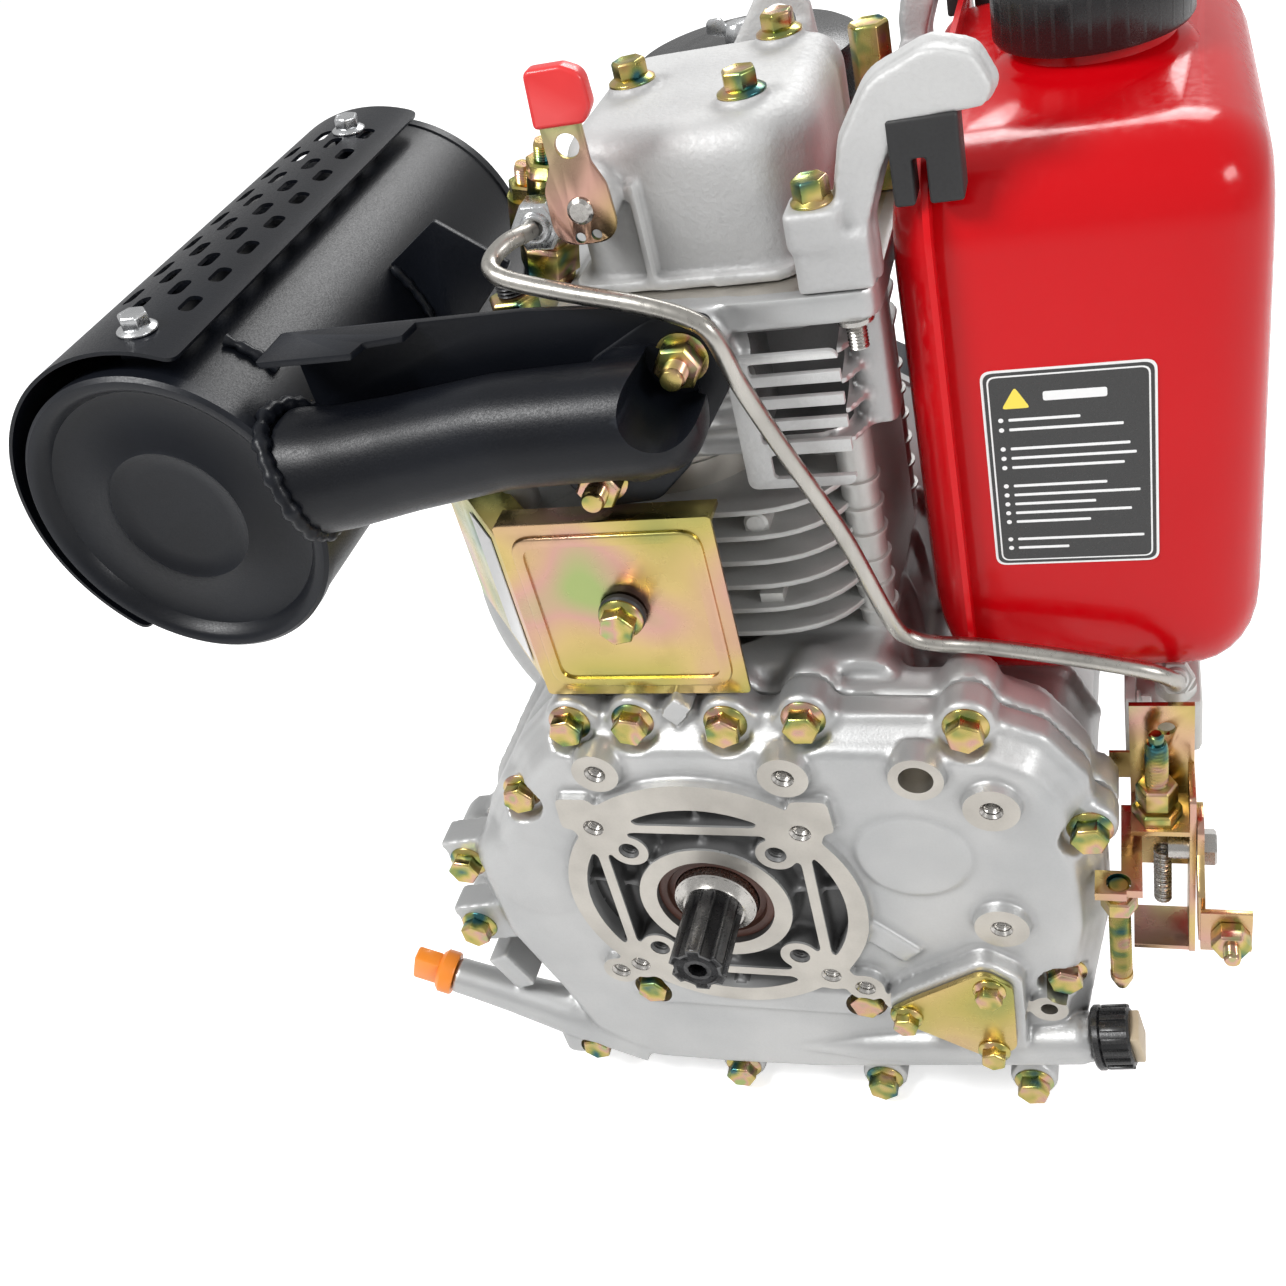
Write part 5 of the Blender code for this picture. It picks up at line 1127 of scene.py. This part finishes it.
def blower():
    front, back = 166.0, 262.0
    outer = prism(volute(0), "Y", front, back - 0.5, 7, 4)
    neck = prism(rounded([(-60, 60), (70, 60), (70, 190), (-90, 190)], 14), "Y", front, front + 26, 3, 3)
    lip = prism(volute(1.5), "Y", back - 6, back - 0.5, 0)
    made = to_object("blower_shell", outer, [CAST])
    cut_with(made, [("UNION", neck, CAST), ("UNION", lip, CAST),
                    ("DIFFERENCE", prism(volute(-4), "Y", front + 5, back + 8), CAST),
                    ("DIFFERENCE", prism(rounded([(-56, 50), (66, 50), (66, 186), (-86, 186)], 12), "Y", front + 4, front + 23), CAST),
                    ("DIFFERENCE", gathered([box((-52, front - 10, 112), (62, front + 10, 182)),
                                             disc(30.0, "Y", front - 5, front + 10, sides=40)]), CAST)])
    bevelled(made, 0.8, 2)
    fitted(made, "engine", "cast_alloy", "blower_housing")
    places = []
    for degrees in (10, 65, 200, 255, 310):
        a = math.radians(degrees)
        grow = max(0.0, math.cos(a - math.radians(142))) ** 2
        r = 124 + 48 * grow - 13
        places.append(((r * math.cos(a), front - 0.2, r * math.sin(a)), (0, -1, 0)))
    bolts("blower_bolts", places[:0] + [(seat, direction) for seat, direction in places if seat[2] > 104 or abs(seat[0]) > 150],
          "engine", "zinc_yellow", across=9.0, flange=6.5, head=4.5) if any(
        s[2] > 104 or abs(s[0]) > 150 for s, _ in places) else None
    polish("flywheel", CAST)
    polish("starter_cup", STEEL)


def recoil_starter():
    back = 362.0
    shell = turned([(30, 262.4), (118, 262.4), (118, 266), (104, 267.5), (99, 270), (93.5, back - 10), (90, back - 5), (82, back - 1),
                    (74, back), (30, back - 1.5), (0, back - 2), (0, back - 5), (30, back - 5), (72, back - 4), (86, back - 10),
                    (94, 268), (90, 265.5), (30, 265.5)], "Y", sides=96)
    vents = []
    for i in range(18):
        vents.append(moved(prism(rounded([(40, -2.6), (72, -3.6), (72, 3.6), (40, 2.6)], 2.4, 4), "Y", back - 15, back + 5),
                           turn=20 * i, about="Y"))
    for i in range(16):
        vents.append(moved(prism(rounded([(300, -8), (330, -8), (330, 8), (300, 8)], 6, 4), "X", 84, 104), turn=22.5 * i + 60, about="Y"))
    made = to_object("starter_shell", shell, [BLACK_PAINT])
    cut_with(made, [("DIFFERENCE", disc(60.0, "Y", 255, 268, sides=48), BLACK_PAINT),
                    ("DIFFERENCE", gathered(vents[:18]), BLACK_PAINT)])
    cut_with(made, [("UNION", box((-100, 290, -42), (-84, 312, -18), 2.0), BLACK_PAINT),
                    ("UNION", disc(9.0, "Y", 284, back - 2, sides=28), BLACK_PAINT),
                    ("DIFFERENCE", disc(4.6, "X", -130, -60, (301, -30), 24), BLACK_PAINT)])
    for shape in vents[18:]:
        shape.free()
    fitted(bevelled(made, 0.5), "engine", "black_steel", "starter_housing")
    hub = turned([(0, back - 2.4), (16, back - 2.4), (16, back - 1), (12, back - 0.2), (0, back - 0.2)], "Y", sides=40)
    fitted(to_object("starter_hub_cap", hub, [SILVER_ZINC]), "engine", "black_steel")
    path = [Vector((-112 + 3 * k, 301, -30)) for k in range(53)]
    fitted(to_object("starter_cord", swept(path, 2.2, 16), [ROPE]), "starter_pull", "plastic_black", "starter_rope")
    grip = turned([(0, -150), (5, -150), (8.5, -148), (10, -144), (9.2, -136), (9, -128), (10.6, -121), (12, -118),
                   (11, -114.5), (8, -112.4), (0, -112.4)], "X", (301, -30), 40)
    fitted(to_object("starter_grip", grip, [BLACK_PLASTIC]), "starter_pull", "plastic_black", "starter_handle")
    places = [((106 * math.cos(math.radians(d)), 266.4, 106 * math.sin(math.radians(d))), (0, 1, 0)) for d in (30, 150, 210, 330)]
    bolts("starter_bolts", places, "engine", "zinc_yellow", across=9.0, flange=6.5, head=4.5)


# ---- fuel tank ----------------------------------------------------------------------------------
def tank_ring(x, trim, corner):
    y0, y1 = TANK_Y
    z0, z1 = TANK_Z
    points = [(y0 + trim, z0 + trim), (y1 - trim, z0 + trim), (y1 - trim, z1 - trim), (y0 + trim, z1 - trim)]
    return [(x, y, z) for y, z in rounded(points, max(6.0, corner - trim * 0.35), 10)]


def tank_body():
    profile = [(98.0, 30.0), (98.4, 26.0), (99.6, 20.0), (101.8, 14.0), (104.6, 9.0), (108.0, 5.0), (111.5, 2.2), (115.0, 1.0),
               (117.0, 0.4), (125.0, 0.0), (160.0, 0.0), (192.0, 0.4), (199.0, 1.0), (204.5, 2.4), (209.5, 4.9),
               (213.6, 8.2), (216.8, 12.2), (219.0, 17.0), (220.0, 22.0), (220.0, 28.0)]
    shape = bmesh.new()
    loops = [[shape.verts.new(place) for place in tank_ring(x, trim, 30)] for x, trim in profile]
    edge_loops = [[shape.edges.new((loop[i], loop[(i + 1) % len(loop)])) for i in range(len(loop))] for loop in loops]
    for before, after in zip(edge_loops, edge_loops[1:]):
        bmesh.ops.bridge_loops(shape, edges=before + after)
    for ends in (edge_loops[0], edge_loops[-1]):
        cap = bmesh.ops.contextual_create(shape, geom=ends)["faces"]
        bmesh.ops.inset_region(shape, faces=cap, thickness=14.0)
    bmesh.ops.recalc_face_normals(shape, faces=shape.faces)
    return shape


def fuel_tank():
    y0, y1 = TANK_Y
    z0, z1 = TANK_Z
    made = to_object("tank_body", tank_body(), [RED_PAINT], 50)
    seam = [(y0 - 6.5, z0 - 6.5), (y1 + 6.5, z0 - 6.5), (y1 + 6.5, z1 + 6.5), (y0 - 6.5, z1 + 6.5)]
    flange = prism(rounded(seam, 34, 14), "X", TANK_SEAM_X - 1.1, TANK_SEAM_X + 1.1)
    neck = turned([(0, z1 - 8), (36, z1 - 8), (35, z1 - 1), (32, z1 + 1.8), (28, z1 + 3.5), (27, z1 + 7), (27, z1 + 14),
                   (0, z1 + 14)], "Z", FILLER, 64)
    cut_with(made, [("UNION", flange, RED_PAINT), ("UNION", neck, RED_PAINT),
                    ("DIFFERENCE", disc(24.0, "Z", z1 - 30, z1 + 30, FILLER, 48), RED_PAINT)])
    edge = made.modifiers.new("edge", "BEVEL")
    edge.width = 1.0 * MM
    edge.segments = 3
    edge.limit_method = "ANGLE"
    edge.angle_limit = math.radians(60)
    settle(made, 50)
    fitted(made, "engine", "tank_red", "fuel_tank")

    top = z1
    ribs = []
    profile = [(0, top + 14.6), (28, top + 14.6), (28, top + 8), (33, top + 8), (34, top + 9.5), (34, top + 24), (33.4, top + 27.5),
               (31, top + 30.6), (27, top + 32), (24, top + 31.4), (0, top + 31.0)]
    ribs.append(turned(profile, "Z", FILLER, 96))
    for i in range(36):
        a = TAU * i / 36
        ribs.append(moved(box((32.8, -0.9, top + 10), (34.0, 0.9, top + 26), 0.3), turn=math.degrees(a),
                          offset=(FILLER[0], FILLER[1], 0)))
    fitted(to_object("tank_screw_cap", gathered(ribs), [BLACK_PLASTIC]), "tank_cap", "plastic_black", "fuel_cap")

    label = rounded([(126.5, 138), (184, 138), (184, 220), (126.5, 220)], 4, 6)
    panels = [("warning_panel_edge", prism(label, "Y", 53.78, 54.1), LABEL_WHITE),
              ("warning_panel", prism(rounded([(127.4, 138.9), (183.1, 138.9), (183.1, 219.1), (127.4, 219.1)], 3.4, 6), "Y",
                                      53.66, 54.0), LABEL_BLACK),
              ("warning_panel_line", prism(rounded([(128.6, 140.1), (181.9, 140.1), (181.9, 217.9), (128.6, 217.9)], 3, 6), "Y",
                                           53.6, 53.9), LABEL_WHITE),
              ("warning_panel_field", prism(rounded([(129.2, 140.7), (181.3, 140.7), (181.3, 217.3), (129.2, 217.3)], 2.6, 6),
                                            "Y", 53.54, 53.85), LABEL_BLACK),
              ("warning_triangle", prism(rounded([(133, 205), (142.6, 205), (137.8, 213.4)], 0.8, 3), "Y", 53.48, 53.8), LABEL_YELLOW)]
    for name, shape, finish in panels:
        fitted(to_object(name, shape, [finish]), "engine", "tank_red")
    bars = [prism(rounded([(147, 207.4), (168, 207.4), (168, 211), (147, 211)], 0.8, 2), "Y", 53.48, 53.8)]
    for row, width in enumerate((24, 38, 0, 40, 42, 38, 0, 32, 43, 28, 40, 26, 0, 44, 18)):
        if width:
            z = 200.5 - row * 3.9
            bars.append(prism(rounded([(135, z - 0.55), (135 + width, z - 0.55), (135 + width, z + 0.55), (135, z + 0.55)], 0.4, 2),
                              "Y", 53.48, 53.8))
            bars.append(disc(0.9, "Y", 53.48, 53.8, (132.4, z), 12))
    fitted(to_object("warning_panel_bars", gathered(bars), [LABEL_WHITE]), "engine", "tank_red")


def tank_fittings():
    x, y = COCK
    z = TANK_Z[0]
    body = gathered([turned([(0, z - 20), (7, z - 20), (7, z - 7), (8, z - 6), (8, z + 6), (0, z + 6)], "Z", (x, y), 36),
                     moved(hexagon(19, z - 8, z - 0.4, 0.8, 0), offset=(x, y, 0)),
                     disc(6.5, "X", x - 14, x + 6, (y, z - 15), 32, 0.8), disc(4.0, "Y", y - 26, y, (x, z - 15), 24),
                     turned([(0, y - 26), (4.9, y - 26), (4.9, y - 23), (4, y - 22), (0, y - 22)], "Y", (x, z - 15), 24)])
    fitted(to_object("fuel_tap_body", body, [CHROMATE]), "engine", "zinc_yellow", "fuel_cock")
    lever = gathered([box((x + 9, y - 4, z - 42), (x + 12, y + 4, z - 10), 1.0), disc(6.0, "X", x + 7.5, x + 12.4, (y, z - 15), 32, 0.8)])
    fitted(to_object("fuel_tap_handle", lever, [RED_GRIP]), "fuel_tap", "grip_red", "fuel_cock_lever")
    hose = smooth_path([(x, y - 24, z - 15), (x, y - 44, z - 16), (x - 1, 150, z - 24), (x - 2, 128, z - 30), (x - 2, 107, z - 31)], 3)
    fitted(to_object("fuel_line", swept(hose, 5.0, 24), [RUBBER]), "engine", "rubber_black", "fuel_hose")


def tank_brackets():
    seam_top = TANK_Z[1] + 7
    for name, y in (("front", 48), ("rear", 240)):
        outline = [(86, 258.4), (97, 258.4), (97, 280), (103, 297), (111, 310), (136, 312), (139, 317), (134, 328),
                   (121, 332), (102, 324), (91, 306), (86, 284)]
        shapes = [prism(rounded(outline, [1, 3, 10, 12, 6, 3, 3, 9, 12, 14, 16, 8], 6), "Y", y, y + 12),
                  prism(rounded(inset(outline, -1.6), [1, 3, 10, 12, 6, 3, 3, 9, 12, 14, 16, 8], 6), "Y", y + 7.5, y + 12)]
        if name == "front":
            shapes += [prism(rounded([(71, 45), (97, 45), (97, 63), (71, 63)], 3), "Z", 258.4, 278),
                       prism(rounded([(69.5, 44), (89, 44), (89, 64), (69.5, 64)], 4), "Z", 274, 287)]
        else:
            shapes += [prism(rounded([(84.5, 150), (97, 150), (97, 166), (84.5, 166)], 3), "Z", 258.4, 276),
                       box((84.5, 160, 260), (97, y + 12, 276))]
        made = cast(f"tank_arm_{name}", shapes, SAND_CAST, 1.3, 6)
        fitted(made, "engine", "cast_alloy", f"tank_bracket_{name}")
        block_outline = rounded([(y - 0.8, seam_top - 15), (y + 12.8, seam_top - 15), (y + 12.8, 312), (y - 0.8, 312)], 1.5, 4)
        block = prism(block_outline, "X", TANK_SEAM_X - 9, TANK_SEAM_X + 13)
        made = to_object(f"tank_rubber_{name}", block, [RUBBER])
        wedge = prism([(TANK_SEAM_X - 2.2, 270), (TANK_SEAM_X + 2.2, 270), (TANK_SEAM_X + 2.2, seam_top),
                       (TANK_SEAM_X - 2.2, seam_top)], "Y", y - 20, y + 32)
        cut_with(made, [("DIFFERENCE", wedge, RUBBER)])
        bevelled(made, 1.4, 3)
        fitted(made, "engine", "rubber_black", f"tank_buffer_{name}")
    bolts("bracket_foot_bolt", [((79, 54, 287), (0, 0, 1))], "engine", "zinc_yellow", across=11.0, flange=7.4, head=7.0)
    stud = gathered([threaded(3.6, 236, 250, 1.25), turned([(0, 246), (6.5, 246), (6.5, 247.6), (0, 247.6)], "Z", sides=24)])
    bmesh.ops.translate(stud, vec=(88, 50, 0), verts=stud.verts)
    fitted(to_object("bracket_stud_end", stud, [STEEL]), "engine", "zinc_silver")
    standoff = moved(hexagon(12.8, 258.4, 318, 1.2, 0.8), offset=(90.5, 134, 0))
    fitted(bevelled(to_object("head_standoff", standoff, [CHROMATE]), 0.4), "engine", "zinc_yellow", "head_nut")


# ---- intake and lifting eye ---------------------------------------------------------------------
def intake():
    x, y = centre = (20, 230)
    bend = [Vector((x, 176.4, 228)), Vector((x, 196, 228)), Vector((x, 212, 229))]
    bend += [Vector((x, 224, 233)), Vector((x, 230, 241)), Vector((x, 230, 246))]
    flange = prism(rounded([(-8, 206), (48, 206), (48, 250), (-8, 250)], 12), "Y", 176.4, 184)
    made = cast("intake_elbow_casting", [swept(smooth_path(bend, 4), 18.5, 40), flange], CAST, 1.6, 4,
                cut=[(box((-30, 160, 180), (60, 177, 280)), MACHINED), (box((-20, 190, 246), (60, 270, 262)), MACHINED)])
    fitted(made, "engine", "cast_alloy", "intake_elbow")
    base = turned([(14.5, 246.4), (46, 246.4), (50, 249), (50, 261), (49, 262), (47, 262), (47, 250), (14.5, 250)], "Z", centre, 96)
    fitted(to_object("cleaner_pan", base, [BLACK_PLASTIC]), "engine", "plastic_black", "air_cleaner_base")
    lid = turned([(0, 284.5), (48.5, 284.5), (48.5, 263), (50.2, 263), (51, 264), (51, 283), (49.6, 286.4), (46, 288.6), (30, 289.6),
                  (28, 290.8), (12, 291), (0, 291)], "Z", centre, 96)
    fitted(to_object("cleaner_cover", lid, [BLACK_PLASTIC]), "air_lid", "plastic_black", "air_cleaner_lid")
    nut = gathered([turned([(0, 291.2), (6.4, 291.2), (6, 297), (5, 299), (0, 299)], "Z", centre, 32),
                    prism(rounded([(x - 14, 296), (x - 4, 293), (x + 4, 293), (x + 14, 296), (x + 13, 301.4), (x + 7, 301.4), (x + 4, 297),
                                   (x - 4, 297), (x - 7, 301.4), (x - 13, 301.4)], 2.0, 4), "Y", y - 1.4, y + 1.4)])
    fitted(bevelled(to_object("cleaner_wing_nut", nut, [SILVER_ZINC]), 0.4), "lid_nut", "zinc_silver", "wing_nut")
    outline = [(-6, 250), (66, 250), (70, 262), (64, 318), (58, 326), (46, 326), (36, 312), (2, 266), (-6, 262)]
    eye = cast("lifting_eye_casting", [prism(rounded(outline, 4), "Y", 168, 174), box((-6, 166.4, 250), (66, 174, 259)),
                                       bar((60, 260), (60, 312), 5, 166.6, 174)], SAND_CAST, 1.4, 5,
               cut=[(disc(6.5, "Y", 150, 200, (52, 313), 36), MACHINED)])
    fitted(eye, "engine", "cast_alloy", "lifting_eye")


# ---- speed control ------------------------------------------------------------------------------
def speed_control():
    y, z = 36.0, 6.0
    low_x, outer = 194.0, 196.4
    side = prism(rounded([(28, -52), (52, -52), (52, 40), (28, 40)], 3, 4), "X", low_x, outer)
    plates = [box((172, 50, -20), (outer, 52.4, 70)), box((172, 28, 20), (outer, 51, 22.4)),
              box((172, 30, -52), (outer, 52, -49.6)), box((168, 4, 10), (176, 51, 14)),
              box((158, 2, 10), (170, 14.4, 14)), box((164, 51, 30), (173, 52.4, 44))]
    made = to_object("control_plate", side, [CHROMATE_SHEET])
    cut_with(made, [("UNION", plate, CHROMATE_SHEET) for plate in plates]
             + [("DIFFERENCE", gathered([disc(5.4, "X", 180, 210, (y, z), 32), disc(4.8, "Z", -10, 18, (167, 8.2), 24),
                                         disc(2.6, "Y", 40, 60, (180, 30), 20), disc(3.4, "Y", 40, 60, (186, 58), 20)]), CHROMATE)])
    fitted(bevelled(made, 0.4), "engine", "zinc_yellow", "control_bracket")
    inner, cap = outer + 0.4, outer + 3
    lever = prism(rounded([(y - 10, z - 8), (y + 10, z - 8), (y + 9, z + 20), (y - 9, z + 20)], 7), "X", inner, cap)
    arm = prism(rounded([(y - 30, z - 26), (y - 14, z - 30), (y + 8, z - 8), (y - 6, z + 8), (y - 22, z - 4)], 6), "X", inner, cap)
    lug = box((inner + 0.6, y - 30, z - 28), (outer + 20, y - 27.5, z - 6))
    made = to_object("speed_lever_plate", lever, [CHROMATE_SHEET])
    cut_with(made, [("UNION", arm, CHROMATE_SHEET), ("UNION", lug, CHROMATE_SHEET),
                    ("DIFFERENCE", disc(2.4, "X", 190, 210, (y, z + 14), 20), CHROMATE)])
    bevelled(made, 0.4)
    fitted(made, "speed_control", "zinc_yellow", "speed_lever")
    pivot = gathered([disc(5.0, "X", low_x - 8, cap + 1, (y, z), 28),
                      aimed(hexagon(13, 0, 5, 0.8, 0.4), (cap, y, z), (1, 0, 0))])
    fitted(to_object("speed_lever_pivot", pivot, [STEEL]), "speed_control", "zinc_yellow")
    clamp = gathered([hexagon(13, 0, 8, 0.9, 0), threaded(3.4, 7.5, 14, 1.0)])
    clamp = aimed(clamp, (outer + 12, y - 30.4, z - 17), (0, -1, 0))
    fitted(bevelled(to_object("cable_clamp_screw", clamp, [CHROMATE]), 0.3), "speed_control", "zinc_yellow", "cable_clamp")
    limiter = gathered([hexagon(16.8, 22.8, 28, 0.8, 0), hexagon(14, 30, 40, 1.0, 0), threaded(4.6, 26, 62, 1.8),
                        turned([(0, 62), (3, 62), (3, 66), (2, 66.6), (0, 66.6)], "Z", sides=20)])
    fitted(bevelled(to_object("fuel_limit_screw", moved(limiter, offset=(182, 38, 0)), [CHROMATE]), 0.25),
           "engine", "zinc_yellow", "fuel_limiter")
    screw = gathered([threaded(4.4, -50, 5, 1.8), hexagon(12.4, -8, -1, 0.8, 0),
                      turned([(0, -58), (2.4, -57.6), (4.6, -52), (4.6, -49), (0, -49)], "Z", sides=20)])
    fitted(to_object("idle_stop_screw", moved(screw, offset=(167, 8.2, 8)), [CHROMATE]), "idle_stop", "zinc_yellow",
           "idle_screw")
    coil = [Vector((184 + 3.2 * math.cos(i * 0.5), 44 + 3.2 * math.sin(i * 0.5), -4 - 0.11 * i)) for i in range(280)]
    fitted(to_object("governor_spring", swept(coil, 0.55, 6), [STEEL]), "engine", "machined_steel")


# ---- oil fillers --------------------------------------------------------------------------------
def oil_fillers():
    start, direction = Vector((-102, 17, -108)), Vector((-63, 0, 26)).normalized()
    foot = start + direction * 62.4
    cap = gathered([turned([(0, 0), (10.5, 0), (11, 1), (11, 6.6), (9, 8.6), (0, 9)], "Z", sides=40),
                    box((-8.5, -4.5, 8), (8.5, 4.5, 22), 1.6),
                    turned([(0, -50), (2.6, -50), (2.6, -12), (4.6, -11), (4.6, 0.5), (0, 0.5)], "Z", sides=20)])
    fitted(to_object("dipstick_cap", aimed(cap, foot, direction), [ORANGE]), "dipstick", "plastic_orange", "oil_dipstick")
    start, direction = Vector((72, 6, -100)), Vector((79, 0, 14)).normalized()
    foot = start + direction * 84.4
    plug = gathered([turned([(0, 0), (13, 0), (14, 1), (14, 3.2), (12.6, 4), (12.6, 15), (11.6, 16), (0, 16)], "Z", sides=40),
                     turned([(0, -18), (6.6, -18), (6.6, 0.5), (0, 0.5)], "Z", sides=24)])
    for i in range(16):
        plug_rib = moved(box((12.2, -1.1, 4.4), (13.8, 1.1, 15.2), 0.3), turn=22.5 * i)
        plug = gathered([plug, plug_rib])
    fitted(to_object("filler_plug_body", aimed(plug, foot, direction), [BLACK_PLASTIC]), "oil_plug", "plastic_black",
           "oil_filler_plug")
    end = aimed(box((-8.0, -8.0, 15.5), (8.0, 8.0, 19.8), 0.8), foot, direction)
    fitted(to_object("filler_plug_end", end, [TAN]), "oil_plug", "plastic_black")


TAN = skin_material("tan_plastic", (0.42, 0.33, 0.22), (0.50, 0.40, 0.27), (0.58, 0.48, 0.34), 0.4, 0.0, 900.0, 0.1)


# ---- CAD pieces that keep their shape -----------------------------------------------------------
def polish(node, finish):
    """Gives a CAD node that stays a procedural finish."""
    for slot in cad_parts[node].material_slots:
        slot.material = finish


def inner_pieces():
    finishes = {STEEL: ("camshaft", "balance_shaft", "connecting_rod", "rod_big_end", "piston_pin", "exhaust_valve", "intake_valve",
                        "exhaust_rocker", "intake_rocker", "exhaust_pushrod", "intake_pushrod", "rocker_shaft"),
                MACHINED: ("piston",)}
    for finish, names in finishes.items():
        for name in names:
            polish(name, finish)


# ---- stage --------------------------------------------------------------------------------------
def plain_material(name, colour, roughness):
    made, tree, shader = blank_material(name, roughness, 0.0)
    shader.inputs["Base Color"].default_value = (*colour, 1.0)
    return made


def stage():
    bmesh_floor = bmesh.new()
    bmesh.ops.create_grid(bmesh_floor, x_segments=1, y_segments=1, size=6.0)
    mesh = bpy.data.meshes.new("floor")
    bmesh_floor.to_mesh(mesh)
    bmesh_floor.free()
    pale = plain_material("pale_floor", (0.93, 0.93, 0.93), 0.9)
    shader = pale.node_tree.nodes["Principled BSDF"]
    shader.inputs["Emission Color"].default_value = (1.0, 1.0, 1.0, 1.0)
    seen = pale.node_tree.nodes.new("ShaderNodeLightPath").outputs["Is Camera Ray"]
    glow = math_node(pale.node_tree, "MULTIPLY", seen, 0.5)
    pale.node_tree.links.new(glow, shader.inputs["Emission Strength"])
    mesh.materials.append(pale)
    floor = bpy.data.objects.new("floor", mesh)
    floor.location = (0, 0, -0.0005)
    bpy.context.scene.collection.objects.link(floor)

    world = bpy.data.worlds.new("studio")
    world.use_nodes = True
    background = world.node_tree.nodes["Background"]
    background.inputs["Color"].default_value = (1.0, 1.0, 1.0, 1.0)
    seen = world.node_tree.nodes.new("ShaderNodeLightPath").outputs["Is Camera Ray"]
    strength = math_node(world.node_tree, "MULTIPLY", seen, 0.45)
    strength = math_node(world.node_tree, "ADD", strength, 0.55)
    world.node_tree.links.new(strength, background.inputs["Strength"])
    bpy.context.scene.world = world
    for name, place, aim, size, power in (("key", (-0.8, -0.9, 1.7), (0, 0, 0.2), 0.7, 24), ("side", (1.5, -0.7, 1.0), (0, 0, 0.25), 0.5, 9),
                                          ("back", (0.3, 1.4, 1.5), (0, 0, 0.25), 1.0, 16)):
        data = bpy.data.lights.new(name, "AREA")
        data.shape = "RECTANGLE"
        data.size, data.size_y = size, size * 0.6
        data.energy = power
        lamp = bpy.data.objects.new(name, data)
        lamp.location = place
        lamp.rotation_euler = (Vector(aim) - Vector(place)).to_track_quat("-Z", "Y").to_euler()
        bpy.context.scene.collection.objects.link(lamp)
    bpy.context.scene.view_settings.view_transform = "Standard"


def camera():
    yaw, pitch, roll = (math.radians(a) for a in (24.27, 36.56, 16.12))
    forward = Vector((-math.sin(yaw) * math.cos(pitch), math.cos(yaw) * math.cos(pitch), -math.sin(pitch)))
    right = Vector((math.cos(yaw), math.sin(yaw), 0))
    down = forward.cross(right)
    tilted_right = right * math.cos(roll) + down * math.sin(roll)
    tilted_down = down * math.cos(roll) - right * math.sin(roll)
    data = bpy.data.cameras.new("camera")
    data.sensor_width = 36.0
    data.lens = 36.0 * 1429.0 / 1286.0
    made = bpy.data.objects.new("camera", data)
    turn = Matrix((tilted_right, -tilted_down, -forward)).transposed().to_4x4()
    made.matrix_world = Matrix.Translation((Vector((177.8, -391.1, 465.4)) + DATUM) * MM) @ turn
    bpy.context.scene.collection.objects.link(made)
    bpy.context.scene.camera = made


camera()
stage()
crankcase_cover()
output_shaft()
crankcase()
barrel()
cylinder_head()
rocker_cover()
decompressor()
injection()
exhaust()
deflector()
blower()
recoil_starter()
fuel_tank()
tank_fittings()
tank_brackets()
intake()
speed_control()
oil_fillers()
inner_pieces()
